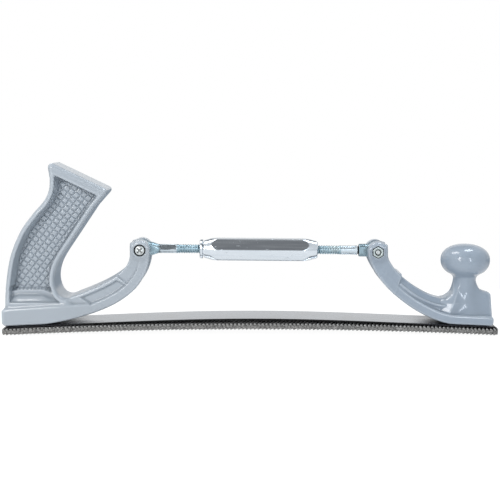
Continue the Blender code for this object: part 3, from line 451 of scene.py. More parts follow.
class Grid:
    """Sample points of a field: x and z, or u and v, in a plane seen from the side, and y across it."""

    def __init__(self, low, high, step, end=FRONT):
        self.low, self.step, self.end = np.array(low, float), step, end
        count = np.ceil((np.array(high) - low) / step).astype(int) + 1
        x, y, z = (low[i] + step * np.arange(count[i]) for i in range(3))
        self.x, self.y, self.z = x[:, None, None], y[None, :, None], z[None, None, :]
        self.u, self.v = SEAT_X - end * self.x, self.z - SEAT_Z
        self.flat = np.meshgrid(self.u.ravel(), self.v.ravel(), indexing="ij")

    def side(self, outline):
        """Distance field of an outline, ready to be spread across y."""
        return polygon(outline, *self.flat)[:, None, :]

    def read(self, arrays, points):
        """Values of sampled arrays at points between the samples."""
        place = (points - self.low) / self.step
        cell = np.minimum(place.astype(int), np.array(arrays[0].shape) - 2)
        share = place - cell
        total = np.zeros((len(points), len(arrays)))
        for corner in itertools.product((0, 1), repeat=3):
            weight = np.prod(np.where(corner, share, 1 - share), axis=1)
            at = tuple((cell + corner).T)
            total += weight[:, None] * np.stack([values[at] for values in arrays], -1)
        return total

    def mesh(self, name, field, look):
        """A piece on the surface of a field: relaxed, laid back on the surface, with the field's own normals."""
        points, faces, cells = surface_net(field, self.low, self.step)
        slopes = np.gradient(field, self.step)
        ahead = np.roll(faces, -1, axis=1)
        ends, others = np.concatenate([faces, ahead]).ravel(), np.concatenate([ahead, faces]).ravel()
        times = np.bincount(ends)[:, None]
        for _ in range(RELAX_TIMES):
            around = np.stack([np.bincount(ends, points[others, axis]) for axis in range(3)], -1) / times
            points = 0.5 * (points + around)
        most = MOST_MOVE * self.step
        for _ in range(LAY_TIMES):
            slope = self.read(slopes, points)
            move = self.read([field], points)[:, 0] / np.maximum((slope**2).sum(1), LEAST_SLOPE)
            points = points - np.clip(move, -most, most)[:, None] * slope
        obj = piece(name, points, faces, look)
        obj.data.normals_split_custom_set_from_vertices(unit(self.read(slopes, points)))
        # The bend is kept for the paint, which lightens outer edges and darkens corners by it: painted highlight
        # and shade, with wear and dirt.
        marked(obj, "edge", np.clip(self.bend(field, cells), -2, 2))
        return obj

    def bend(self, field, cells):
        """How a field bends at cells: over 0 at an outer edge, under 0 in a corner."""
        total = -6 * field[1:-1, 1:-1, 1:-1]
        for axis, shift in itertools.product(range(3), (0, 2)):
            cut = [slice(1, -1)] * 3
            cut[axis] = slice(shift, field.shape[axis] - 2 + shift)
            total = total + field[tuple(cut)]
        total = np.pad(total / self.step**2, 1)
        return np.mean([total[tuple((cells + o).T)] for o in itertools.product((0, 1), repeat=3)], axis=0)


# What the castings are made of
SLOT_REACH, SLOT_EDGE, POCKET_EDGE, BORE_GAP, NUT_GAP = 14.2, 0.5, 0.35, 0.3, 0.4
# Shares of painted shade: in a counterbore, in a nut pocket, in the fork's slot, and round and below a pivot on
# the ears.
BORE_SHADE, POCKET_SHADE, SLOT_SHADE, EAR_SHADE = 0.95, 0.5, 0.4, 0.13
FOOT_HOLES = ((0, 2.8, 11.3), (-8.5, 2.3, 5.3), (8.5, 2.3, 5.3))  # offset along the blade, radius, depth
FOOT_CORNER, TAPER_FROM = 2.5, 22
FLANGE_SPAN = 0.66  # share of the arm's lower curve that the foot's flange follows
DRAFT_OVER = 8.0  # depth over which a pocket's side moves by its draft


def hexagon(x, z):
    """Distance from the middle, square to the nearest flat of a hexagon."""
    return np.max([np.abs(x * math.cos(a) + z * math.sin(a)) for a in np.radians([0, 60, 120])], axis=0)


def pivot_holes(grid, field, pivot):
    """Cuts a fork's slot, bore, counterbore and nut pocket."""
    x, z = grid.x - pivot[0], grid.z - pivot[1]
    slot = np.maximum(np.abs(grid.y) - EYE_SLOT, np.maximum(-z - SLOT_DEPTH, np.abs(x) - SLOT_REACH))
    field = smooth_max(field, -slot, SLOT_EDGE)
    radius = np.hypot(x, z)
    field = np.maximum(field, -(radius - PIVOT_RADIUS - BORE_GAP))
    out = grid.end * grid.y
    counterbore = np.maximum(radius - COUNTERBORE, FORK_HALF - COUNTERBORE_DEPTH - out)
    field = smooth_max(field, -counterbore, POCKET_EDGE)
    nut = np.maximum(hexagon(x, z) - NUT_ACROSS / 2 - NUT_GAP, FORK_HALF - NUT_POCKET + out)
    return smooth_max(field, -nut, POCKET_EDGE)


def with_painted_shade(obj, pivot, head_side):
    """Paints shade on the walls of a fork's slot, counterbore and nut pocket, and round the pivot on its ears,
    fading out above it.
    """
    points = np.array([v.co for v in obj.data.vertices]) / MM
    radius = np.hypot(points[:, 0] - pivot[0], points[:, 2] - pivot[1])
    out = head_side * points[:, 1]

    def within(reach, depth, out, rim):
        return (radius < reach) & (out > FORK_HALF - depth - 0.8) & (out < FORK_HALF - rim)

    bore = within(COUNTERBORE + 0.15, COUNTERBORE_DEPTH, out, 0.35)
    pocket = within(NUT_ACROSS / 2 + 1.0, NUT_POCKET, -out, 0.5)
    slot = (np.abs(out) < EYE_SLOT + 0.2) & (radius < SLOT_DEPTH + 3)
    ear = EAR_SHADE * smoothstep((11 - radius) / 4) * smoothstep((pivot[1] + 6 - points[:, 2]) / 5)
    marked(obj, "painted_shade", np.select([bore, pocket, slot], [BORE_SHADE, POCKET_SHADE, SLOT_SHADE], ear))
    return obj


def foot_holes(grid, field):
    """Blind holes for the blade screw and the two strip rivets."""
    for offset, radius, depth in FOOT_HOLES:
        along = grid.end * SCREW_AT + offset
        x0, z0 = bent(along, SEAT)
        lean = along / ARCH_RADIUS
        across = (grid.x - x0) * math.cos(lean) - (grid.z - z0) * math.sin(lean)
        height = (grid.x - x0) * math.sin(lean) + (grid.z - z0) * math.cos(lean)
        field = np.maximum(field, -np.maximum(np.hypot(across, grid.y) - radius, height - depth))
    return field


def ear_edge(grid, pivot, edge, more):
    """Rounding of an arm's edges, with more of it on the upper half of the ear."""
    return edge + more * smoothstep((grid.z - pivot[1] - 1) / 4)


def foot(grid, arm, base_out, top_out, top_in, flange, taper_to, narrow, edge):
    """The block under an arm, which tapers into a flange along the arm's lower curve."""
    lower = under_curve(arm, 0, FLANGE_SPAN)
    upper = beside(lower, flange)
    upper = upper[upper[:, 1] > top_in]
    low, high = (-base_out, -SEAT_SLOPE * base_out), (-base_out, top_out)
    corners = corner(upper[0], high, low, FOOT_CORNER), corner(high, low, lower[0], FOOT_CORNER)
    half = BASE_HALF + (narrow - BASE_HALF) * smoothstep((grid.u - TAPER_FROM) / (taper_to - TAPER_FROM))
    return slab(grid.side(joined(lower, upper[::-1], *corners)), grid.y, half, edge)


def arm_outline(arm, root):
    return joined(under_curve(arm), ear_curve(arm[2]), over_curve(arm)[::-1], root)


def arm_panel(arm, low_span, high_span, low_rim, high_rim):
    """Outline of a panel between spans of an arm's two curves, at a distance from each."""
    lower = beside(under_curve(arm, *low_span, PANEL_STEPS), low_rim)
    upper = beside(over_curve(arm, *high_span, PANEL_STEPS), -high_rim)
    return joined(lower, upper[::-1])


def sunk(grid, field, side, floor, draft, round_floor, round_rim):
    """Sinks a pocket of the given side view into both faces, down to half width floor."""
    depth = np.abs(grid.y) - floor
    pocket = smooth_max(side + draft * np.clip(1 - depth / DRAFT_OVER, 0, 1), -depth, round_floor)
    return smooth_max(field, -pocket, round_rim)


def cast(name, grid, field, pivot, look):
    """The piece with its holes and its painted shade. Heads of pivot screws are near at the rear and far at the
    front.
    """
    field = foot_holes(grid, pivot_holes(grid, field, pivot))
    return with_painted_shade(grid.mesh(name, field, look), pivot, grid.end)


# Rear handle
GRIP_BACK = [(-13.3, 6), (-12.6, 24), (-8.6, 48), (-1, 66.5), (8, 79), (16.5, 88.7), (20.2, 96.5), (21, 104)]
GRIP_TOP_REAR, GRIP_TOP_FRONT = (19.2, 117), (62.6, 96.2)
GRIP_FINGERS = [(52.2, 84.6), (37.2, 62.6), (26.8, 47), (23, 37.5), (22.6, 29), (25.6, 21.6), (31, 18.8)]
GRIP_RIM, GRIP_TOP_RIM, WEB_HALF, RECESS_FLOOR = 3.4, 7.0, 3.5, 25.0
REAR_ARM = (15.0, (31, 18.8), REAR_PIVOT_UV, (50, 6.8, 28.4), (27, 10.2, 13.5, 2.9))
PANEL_LOW_RIM, PANEL_DRAFT, PANEL_EDGE = 6.3, 4.0, 0.5
LEDGE = [(16.2, 12.6), (17.2, 12.5), (18.6, 12.0), (19.8, 10.9), (20.7, 9.4), (21.4, 8.6), (22.4, 8.3),
         (23.6, 8.5), (24.6, 8.6), (25.3, 7.6), (26, 5.2), (26.6, 3.4), (28, 3.0)]  # height, half width
LEDGE_LOW, LEDGE_HIGH = 16.0, RECESS_FLOOR + 2.5
CHECKER_STEP, CHECKER_RISE, CHECKER_GROOVE, CHECKER_RIM = 0.3, 1.0, 0.19, 1.3
CHECKER_LINES = ((52.0, 4.12, 0.75, 12.99), (-38.5, 3.9, 0.2, 78.23))  # degrees, spacing, share of painted highlight on the lit slope, key of a row


def grip_shape():
    back, fingers = through(GRIP_BACK), through(GRIP_FINGERS)
    rear = corner(back[-1], GRIP_TOP_REAR, GRIP_TOP_FRONT, 2.7)
    front = corner(GRIP_TOP_REAR, GRIP_TOP_FRONT, fingers[0], 2.5)
    return joined(back, rear, front, fingers, [(39, 9.5)])


def recess_side(u, v, grip):
    """Distance field of the grip's recess in side view: a rim inside the grip, wider at the top."""
    (u0, v0), (u1, v1) = GRIP_TOP_REAR, GRIP_TOP_FRONT
    below_top = ((v - v0) * (u1 - u0) - (u - u0) * (v1 - v0)) / math.hypot(u1 - u0, v1 - v0)
    return smooth_max(grip + GRIP_RIM, below_top + GRIP_TOP_RIM, 2.5)


def ledge_half(u, v):
    """Half width of the floor under the recess: LEDGE, drooping at both ends, with a rough upper edge."""
    rough = 0.35 * np.sin(2.3 * u) + 0.25 * np.sin(5.1 * u + 1) * np.cos(0.7 * u)
    droop = 2.4 * smoothstep((u - 12) / 8) + 1.6 * smoothstep((-3 - u) / 6)
    heights, halves = np.array(LEDGE).T
    return np.interp(v + droop - rough * smoothstep((v - 22) / 3), heights, halves)


def rear_casting(look):
    grid = Grid((-178.4, -17.6, 5.4), (-69.5, 17.6, 123.6), 0.55, REAR)
    u, v = grid.u, grid.v
    field = foot(grid, REAR_ARM, base_out=15.3, top_out=11.6, top_in=15.4, flange=7.4,
                 taper_to=62, narrow=FORK_HALF - 0.2, edge=1.8)
    arm = grid.side(arm_outline(REAR_ARM, [(25, 12.8), (12, 5)]))
    field = smooth_min(field, slab(arm, grid.y, FORK_HALF, ear_edge(grid, REAR_PIVOT, 1.5, 1.4)), 1.0)
    grip = grid.side(grip_shape())
    field = smooth_min(field, slab(grip, grid.y, GRIP_HALF, 3.3), 2.0)
    hollow = recess_side(u, v, grip)
    upper = smooth_max(hollow, RECESS_FLOOR - v, 1.5)
    field = sunk(grid, field, upper, floor=WEB_HALF, draft=1.6, round_floor=1.2, round_rim=1.8)
    lower = smooth_max(hollow, np.maximum(LEDGE_LOW - v, v - LEDGE_HIGH), 1.0)
    field = sunk(grid, field, lower, floor=ledge_half(u, v), draft=0.4, round_floor=1.2, round_rim=1.2)
    for low_span, high_span, high_rim, depth, share in (
        ((0.268, 0.59), (0.1, 0.534), 2.4, 2.2, 1.0),
        ((0.598, 0.9), (0.545, 0.93), -3.0, 1.3, smoothstep((47 - v) / 9)),
    ):
        panel = grid.side(arm_panel(REAR_ARM, low_span, high_span, PANEL_LOW_RIM, high_rim))
        panel = panel - PANEL_DRAFT * (1 - depth / DRAFT_OVER)  # so that the outline holds at the surface
        field = sunk(grid, field, panel, FORK_HALF - depth * share, PANEL_DRAFT, PANEL_EDGE, PANEL_EDGE)
    return cast("rear_casting", grid, field, REAR_PIVOT, look)


def checkered(name, side, look):
    """Raised lozenges on the floor of one recess of the grip, as a thin closed plate."""
    u, v = np.meshgrid(np.arange(-14, 64, CHECKER_STEP), np.arange(RECESS_FLOOR - 1, 118, CHECKER_STEP),
                       indexing="ij")
    rim = smooth_max(recess_side(u, v, polygon(grip_shape(), u, v)), RECESS_FLOOR - 1 - v, 0.5)
    nearest, lit_slope_glint, cell = np.full(rim.shape, 0.5), np.zeros(rim.shape), np.zeros(rim.shape)
    for degrees, spacing, glint_share, key in CHECKER_LINES:
        turn = math.radians(degrees)
        place = (v * math.cos(turn) - u * math.sin(turn)) / spacing
        off = place - np.round(place)
        nearest = smooth_min(nearest, np.abs(off), 0.06)
        # A painted highlight on the slope of each lozenge that faces the light.
        lit_slope_glint += glint_share * smoothstep((off + 0.34) / 0.1) * smoothstep((-0.1 - off) / 0.1)
        cell += key * np.floor(place)
    raised = smoothstep(nearest / CHECKER_GROOVE) * smoothstep((-rim - CHECKER_RIM) / 0.9)
    height = WEB_HALF + 0.12 + CHECKER_RISE * raised
    index = np.arange(rim.size).reshape(rim.shape)
    quads = np.stack([index[:-1, :-1], index[1:, :-1], index[1:, 1:], index[:-1, 1:]], -1).reshape(-1, 4)
    used, quads = np.unique(quads[(rim.ravel()[quads] < -CHECKER_RIM).all(1)], return_inverse=True)
    quads, count = quads.reshape(-1, 4), len(used)
    x, z = world(REAR, u.ravel()[used], v.ravel()[used])
    top = np.stack([x, side * height.ravel()[used], z], -1)
    under = np.stack([x, np.full(count, side * (WEB_HALF - 0.5)), z], -1)
    edges = np.concatenate([np.stack([quads[:, i], quads[:, (i + 1) % 4]], -1) for i in range(4)])
    _, where, times = np.unique(np.sort(edges, axis=1), axis=0, return_inverse=True, return_counts=True)
    bare = edges[times[where.reshape(-1)] == 1]
    walls = np.stack([bare[:, 1], bare[:, 0], bare[:, 0] + count, bare[:, 1] + count], -1)
    faces = np.concatenate([quads, quads[:, ::-1] + count, walls])
    plate = outward(piece(name, np.concatenate([top, under]), faces, look, 60))
    # Tops lighter and grooves darker, with the painted highlight on the lit slopes: painted light and shade, kept
    # as edge.
    shine = 1.15 * (raised - 0.78) + lit_slope_glint * raised * (0.75 + 0.45 * np.sin(cell))
    marked(plate, "edge", np.concatenate([shine.ravel()[used], np.zeros(count)]))
    return plate


# Front handle
FRONT_ARM = (18.5, (24, 17.8), FRONT_PIVOT_UV, (36, 6.9, 11.6), (18, 2.7, 8, 2))
FRONT_ROOT = [(24, 17.8), (20.3, 18.6), (16.0, 21.8), (14.4, 26.5), (13.6, 30)]
STEP_LOW, STEP_HIGH = (56.3, 27.3), (52.9, 36.3)  # the line where the arm's full width ends
KNOB_AXIS, KNOB_RADIUS, KNOB_CENTRE, KNOB_UP, KNOB_DOWN = 6.3, 17.45, 45.2, 11.4, 12.4
KNOB_LEAVE, KNOB_POWER = math.radians(-46), 0.91  # where the neck leaves; under 1 fills the sides
NECK_RADIUS, NECK_RISE = 7.8, 29.5
TABLE_STEP = 0.2
BLOCK_CORNER = [(-11.9, 3), (-11.9, 21.4), (-8.4, 22.3)]
BLOCK_TOP = [(-8.4, 22.3), (-5.6, 23.2), (-3.3, 24.7), (-1.4, 27), (1.5, 29)]
APRON = [(3, 15.0, 21.5), (6, 14.5, 20.2), (11, 13.4, 18.2), (15, 12.5, 16.2), (20, 9.4, 14), (26, 5.8, 11.4),
         (30, 4, 10)]  # height, half width and place of the ridge on each side of the column's foot
APRON_EDGE = [(29, 5.5), (27.4, 11), (25.4, 15.2), (23.6, 17.5), (20.4, 18.2), (16.4, 21.4), (14.6, 26.5),
              (13.6, 30)]


def knob_profile():
    """Outline of knob, neck and column: distance from the axis, on both sides of it, and height."""
    column = bezier((17.0, 4.5), (12.2, 7.5), (NECK_RADIUS, 14), (NECK_RADIUS, NECK_RISE))
    below = (KNOB_RADIUS * math.cos(KNOB_LEAVE) ** KNOB_POWER,
             KNOB_CENTRE - KNOB_DOWN * math.sin(-KNOB_LEAVE) ** KNOB_POWER)
    neck = bezier((NECK_RADIUS, NECK_RISE), (NECK_RADIUS, NECK_RISE + 4), (below[0] - 3.2, below[1] - 1.6), below)
    angle = np.linspace(KNOB_LEAVE, math.pi / 2, 48)
    rise = np.where(angle > 0, KNOB_UP, -KNOB_DOWN) * np.abs(np.sin(angle)) ** KNOB_POWER
    knob = np.stack([KNOB_RADIUS * np.maximum(np.cos(angle), 0) ** KNOB_POWER, KNOB_CENTRE + rise], -1)
    right = joined(column, neck[1:], knob[1:])
    return joined(right, right[::-1] * (-1, 1))


def knob_column(grid):
    """Knob and column, turned about the knob's axis, with the column's foot cut flat on both sides."""
    table_r = np.arange(0, 100, TABLE_STEP)
    table = polygon(knob_profile(), *np.meshgrid(table_r, grid.v.ravel(), indexing="ij"))
    place = np.hypot(grid.x - (SEAT_X - KNOB_AXIS), grid.y) / TABLE_STEP
    cell = np.clip(place.astype(int), 0, len(table_r) - 2)[:, :, 0]
    share = place - cell[:, :, None]
    column = table[cell] * (1 - share) + table[cell + 1] * share
    return smooth_max(column, np.abs(grid.y) - 14.2 - 6 * smoothstep((grid.v - 24) / 8), 1.5)


def front_block(grid):
    """The block at the outer side of the column, whose sides lean in towards the top."""
    top = joined(corner(*BLOCK_CORNER, 1.9), through(BLOCK_TOP))
    outline = joined(BLOCK_CORNER[0], top, [(KNOB_AXIS, 29), (KNOB_AXIS, 3)])
    return slab(grid.side(outline), grid.y, 11.4 - 0.42 * np.maximum(grid.v - 6.2, 0), 1.6)


def front_apron(grid):
    """The foot of the column, with a ridge on each side."""
    outline = joined(through(APRON_EDGE), [(KNOB_AXIS, 30), (KNOB_AXIS, 3), (29, 3)])
    heights, halves, ridge = np.array(APRON).T
    past = grid.u - np.interp(grid.v, heights, ridge)
    half = np.interp(grid.v, heights, halves) - 0.48 * np.maximum(past, 0) - 0.4 * np.maximum(-past, 0)
    return slab(grid.side(outline), grid.y, half, 1.2)


def front_rib(grid, side):
    """The arm's narrower part below the step, bevelled, with a bead along its upper edge."""
    half = 11.7 - 1.3 * smoothstep((46 - grid.u) / 16) - 4 * smoothstep((22 - grid.u) / 8)
    line = line_distance(beside(over_curve(FRONT_ARM, -0.12, 0.5), -4.6), *grid.flat)[:, None, :]
    bead = np.hypot(line, np.abs(grid.y) - half + 0.3) - 0.9
    return smooth_min(bevelled(side, grid.y, half, 5.0), np.maximum(bead, 20 - grid.u), 0.6)


def front_arm(grid, side):
    """The arm at its full width, which ends at a step, with a nub at the step's upper end."""
    step_u, step_v = STEP_HIGH[0] - STEP_LOW[0], STEP_HIGH[1] - STEP_LOW[1]

    def before_step(u, v):
        return ((u - STEP_LOW[0]) * step_v - (v - STEP_LOW[1]) * step_u) / math.hypot(step_u, step_v)

    arm = slab(side, grid.y, FORK_HALF, ear_edge(grid, FRONT_PIVOT, 1.3, 1.6))
    arm = smooth_max(arm, -before_step(grid.u, grid.v), 0.8)
    over = over_curve(FRONT_ARM)
    nub_u, nub_v = over[np.argmin(np.abs(before_step(*over.T)))]
    nub = np.hypot(grid.u - nub_u - 0.6, grid.v - nub_v - 0.3) - 1.35
    return smooth_min(arm, slab(nub, grid.y, FORK_HALF - 0.6, 0.8), 0.8)


def front_casting(look):
    grid = Grid((82.8, -18.4, 5.4), (175.2, 18.4, 67.4), 0.5)
    field = foot(grid, FRONT_ARM, base_out=12, top_out=6.2, top_in=6.2, flange=6.8,
                 taper_to=58, narrow=FORK_HALF, edge=1.6)
    root = joined(through(FRONT_ROOT)[1:], [(KNOB_AXIS, 30), (KNOB_AXIS, 3)])
    side = grid.side(arm_outline(FRONT_ARM, root))
    body = knob_column(grid)
    for more, fillet in ((front_block(grid), 4.0), (front_apron(grid), 3.2), (front_rib(grid, side), 0.5),
                         (front_arm(grid, side), 0.4)):
        body = smooth_min(body, more, fillet)
    field = np.maximum(smooth_min(field, body, 1.0), np.abs(grid.y) - BLADE_HALF)
    return cast("front_casting", grid, field, FRONT_PIVOT, look)


# Blade and strip, each in two halves that meet in the middle
COLUMNS = 13  # points across each face of the blade
WALL = 0.9  # height of the tooth edge above the plain side wall
BLADE_END, END_DEPTH = BLADE_LENGTH / 2 - 0.15, 0.9
TOOTH_SHAPE = [(0, 0.0), (0.3, 0.22), (0.62, 0.72), (1 - TOOTH_FACE / TOOTH_PITCH, 1.0)]  # of pitch, depth
HOLE_GAP, HOLE_AROUND, HOLE_TURN = 0.3, 48, 0.03  # the turn keeps the cutter off the blade's own points
STRIP_EDGE, STRIP_FREE = 0.35, SCREW_AT - 15.0  # rounding of its edges, and half length of its bowed part


def half_width_at(from_end, half, corner):
    """Half width of a plate with rounded corners, at a distance from its end."""
    from_end = np.clip(from_end, 0, corner)
    return half - corner + np.sqrt(np.maximum(0, corner**2 - (corner - from_end) ** 2))


def blade_stations():
    """Places along the blade, each with its share of the tooth depth."""
    stations = [(-BLADE_END, END_DEPTH)]
    tip = -math.floor(BLADE_END / TOOTH_PITCH) * TOOTH_PITCH
    while tip < BLADE_END:
        tooth = [(tip + share * TOOTH_PITCH, depth) for share, depth in TOOTH_SHAPE]
        stations += [(at, depth) for at, depth in tooth if at < BLADE_END - 0.05]
        tip += TOOTH_PITCH
    return stations + [(BLADE_END, END_DEPTH)]


def blade_rings(stations):
    """Closed rings across the bent blade, with two points on each side wall."""
    c = np.linspace(-1, 1, COLUMNS)
    rings = []
    for along, depth in stations:
        bottom, top = TOOTH_DEPTH * depth, BLADE_THICKNESS - TOOTH_DEPTH * depth
        from_end = BLADE_LENGTH / 2 - abs(along)
        place = along + TOOTH_BOW * smoothstep((from_end - 0.2) / 14) * (1 - c * c)
        width = half_width_at(from_end, BLADE_HALF, BLADE_CORNER)
        ring = []
        for sign, height in ((1, bottom), (-1, top)):
            x, z = bent(place[::sign], height)
            ring += list(zip(x, c[::sign] * width, z))
            x, z = bent(along, np.array([bottom + WALL, top - WALL])[::sign])
            ring += list(zip(x, np.full(2, sign * width), z))
        rings.append(ring)
    return rings


def drilled(blade, end, look):
    """Cuts the countersunk hole at one end of the blade."""
    hole, mouth = BLADE_SCREW_RADIUS + HOLE_GAP, BLADE_SCREW_HEAD + HOLE_GAP
    profile = [(mouth, -2), (mouth, BLADE_SCREW_SINK), (hole, BLADE_SCREW_SINK + mouth - hole), (hole, 8)]
    angle = np.linspace(HOLE_TURN, HOLE_TURN + 2 * math.pi, HOLE_AROUND, endpoint=False)
    rings = []
    for radius, height in profile:
        x, z = bent(end * SCREW_AT + radius * np.cos(angle), height)
        rings.append(np.stack([x, radius * np.sin(angle), z], -1))
    cutter = outward(piece(blade.name + "_cutter", *loft(rings), look))
    cut = blade.modifiers.new("hole", "BOOLEAN")
    cut.operation, cut.solver, cut.object = "DIFFERENCE", "EXACT", cutter
    graph = bpy.context.evaluated_depsgraph_get()
    blade.data = bpy.data.meshes.new_from_object(blade.evaluated_get(graph))
    blade.modifiers.clear()
    bpy.data.objects.remove(cutter)
    return blade


def blade_half(name, end, look):
    stations = [s for s in blade_stations() if end * s[0] > -1e-6]
    rings = blade_rings(stations)
    points, faces = loft(rings, capped=False)
    for ring in (0, len(points) - len(rings[0])):  # caps as strips, because the ring at the middle is bowed
        cap = [(i, i + 1, 2 * COLUMNS - i, 2 * COLUMNS + 1 - i) for i in range(1, COLUMNS - 2)]
        cap += [(0, 1, *range(2 * COLUMNS, 2 * COLUMNS + 4)), tuple(range(COLUMNS - 2, COLUMNS + 4))]
        faces += [[ring + i for i in face] for face in cap]
    blade = piece(name, points, faces, look, 28)
    teeth = np.concatenate([np.ones(COLUMNS), [0, 0], np.ones(COLUMNS), [0, 0]])
    upper = np.concatenate([np.zeros(COLUMNS + 3), np.ones(COLUMNS - 2), np.zeros(3)])
    depths = np.array([[depth] for _, depth in stations])
    # Marks for painted highlight on tooth tips, painted shade in tooth roots, and the painted shadow of the strip
    # on the blade's upper face.
    marked(blade, "tip", teeth * (1 - np.minimum(1, 2.5 * depths)))
    marked(blade, "root", teeth * np.clip(2 * depths - 1, 0, 1))
    marked(blade, "strip_shadow", np.tile(upper, len(stations)))
    return drilled(outward(blade), end, look)


def strip_half(name, end, look):
    half_length = STRIP_LENGTH / 2
    rounded = half_length - STRIP_CORNER * np.cos(np.radians([8, 20, 32, 45, 60, 75, 90]))
    alongs = np.concatenate([np.linspace(0, half_length - STRIP_CORNER, 60)[:-1], rounded])
    rings = []
    for along in alongs:
        lift = STRIP_BOW * math.cos(math.pi / 2 * along / STRIP_FREE) ** 2 if along < STRIP_FREE else 0.0
        width = float(half_width_at(half_length - along, STRIP_HALF, STRIP_CORNER))
        side = width - STRIP_EDGE
        low, high = STRIP_BOTTOM + lift, STRIP_BOTTOM + lift + STRIP_THICKNESS
        low_edge, high_edge = low + STRIP_EDGE, high - STRIP_EDGE
        across = [-side, side, width, width, side, side - 0.3, 0.3 - side, -side, -width, -width]
        height = [low, low, low_edge, high_edge, high, high, high, high, high_edge, low_edge]
        x, z = bent(end * along, np.array(height))
        rings.append(np.stack([x, across, z], -1))
    strip = outward(piece(name, *loft(rings), look, 40))
    # Painted shade on the edges and underside (rim), and the painted shadow of the feet on the top (shade).
    marked(strip, "rim", np.tile([0.6, 0.6, 1, 1, 0.8, 0, 0, 0.8, 1, 1], len(rings)))
    from_screw = SCREW_AT - alongs
    marked(strip, "shade", np.repeat(0.72 * smoothstep((50 - from_screw) / 26), len(rings[0])))
    return strip


# Turnbuckle
AXIS_SPAN = (FRONT_PIVOT[0] - REAR_PIVOT[0], FRONT_PIVOT[1] - REAR_PIVOT[1])
PIVOT_SPAN = math.hypot(*AXIS_SPAN)
AXIS = np.array([AXIS_SPAN[0], 0, AXIS_SPAN[1]]) / PIVOT_SPAN
AXIS_UP = np.array([-AXIS[2], 0, AXIS[0]])
ROD_AROUND, ROD_TIP, ROD_TIP_RADIUS = 48, ROD_SHOWN + ROD_ENGAGED, 2.2
FLARED_NECK = [(2.0, 4.6), (2.7, 5), (6.4, 5), (8.5, 4.6), (10.5, 3.9), (11.8, 3.45), (12.6, 3.25), (13.2, 3.2)]
GROOVED_NECK = [(2.0, 4.2), (2.7, 4.6), (11.8, 4.6), (12.3, 4.45), (12.6, 4.1), (12.65, 3.1), (12.8, 2.7),
                (13.7, 2.7), (13.8, 3.5), (14.3, 3.4)]  # distance from the pivot, radius
FLAT_LEAN, FLAT_HALF = math.radians(32), 2.4  # way that a flat on the flared rod's shank faces, above level
THREAD_FROM, THREAD_RUN_IN = 26.0, 1.5


def on_axis(start, along, across, up):
    """Points along the turnbuckle's line from start, given along it, across it and up from it."""
    along, across, up = np.broadcast_arrays(along, across, up)
    ahead = np.array([start[0], 0, start[1]]) + along[..., None] * AXIS
    return ahead + across[..., None] * np.array([0, 1, 0]) + up[..., None] * AXIS_UP


def round_axis(start, along, radius, angle):
    """A ring round that line."""
    return on_axis(start, along, radius * np.cos(angle), radius * np.sin(angle))


def eye_rod(name, pivot, points_to, flared, look):
    angle = np.linspace(0, 2 * math.pi, ROD_AROUND, endpoint=False)
    neck, shank = (FLARED_NECK, (13.9, 14.1)) if flared else (GROOVED_NECK, (16.0, 16.5))
    rings, painted_shade, painted_sheen = [], [], []
    for along, radius in neck + [(at, ROD_RADIUS) for at in (*shank, 19.0, 24.9, 25.1)]:
        across, up = np.clip(radius * np.cos(angle), -3.8, 3.8), radius * np.sin(angle)
        # Painted shade at the end of the flared neck, in the groove behind the collar and lightly over the
        # collar; the plain shank is lighter, as painted sheen.
        if flared:
            shade_amount = 0.5 * (13 < along < 13.95)
        else:
            shade_amount = 0.97 if 12.62 < along < 13.75 else 0.2 * (along < 12.7)
        painted_shade.append(np.full(ROD_AROUND, shade_amount))
        painted_sheen.append(np.full(ROD_AROUND, 0.75 * (along > 13.75)))
        if flared and 14 < along < 25:
            out = up * math.sin(FLAT_LEAN) - across * math.cos(FLAT_LEAN)
            past = out - np.clip(out, -FLAT_HALF, FLAT_HALF)
            across, up = across + past * math.cos(FLAT_LEAN), up - past * math.sin(FLAT_LEAN)
            # The flat is painted dark, as a painted dark reflection.
            painted_shade[-1] = 0.62 * (np.abs(past) > 0)
        rings.append(on_axis(pivot, points_to * along, across, up))
    for along in np.arange(THREAD_FROM, ROD_TIP - 0.8, THREAD_PITCH / 8):
        phase = (along / THREAD_PITCH + angle / (2 * math.pi)) % 1
        groove = np.clip(1 - np.abs(phase - 0.5) / 0.42, 0, 1)
        run_in = min(1, (along - THREAD_FROM) / THREAD_RUN_IN)
        rings.append(round_axis(pivot, points_to * along, ROD_RADIUS - THREAD_DEPTH * groove * run_in, angle))
    rings.append(round_axis(pivot, points_to * ROD_TIP, ROD_TIP_RADIUS, angle))
    rod_points, rod_faces = loft(rings)
    eye = [(2.4, -EYE_HALF), (EYE_RADIUS - 0.5, -EYE_HALF), (EYE_RADIUS - 0.1, 0.3 - EYE_HALF),
           (EYE_RADIUS, 0.8 - EYE_HALF)]
    eye += [(r, -y) for r, y in reversed(eye)]
    eye_rings = [on_axis(pivot, r * np.cos(angle), y, r * np.sin(angle)) for r, y in eye]
    eye_points, eye_faces = loft(eye_rings + eye_rings[:1], capped=False)
    count = len(rod_points)
    faces = rod_faces + [[i + count for i in f] for f in eye_faces]
    rod = outward(piece(name, np.concatenate([rod_points, eye_points]), faces, look, 50))
    for word, values in (("painted_shade", np.concatenate(painted_shade)), ("painted_sheen", np.concatenate(painted_sheen))):
        marked(rod, word, np.pad(values, (0, len(rod.data.vertices) - len(values))))
    return rod


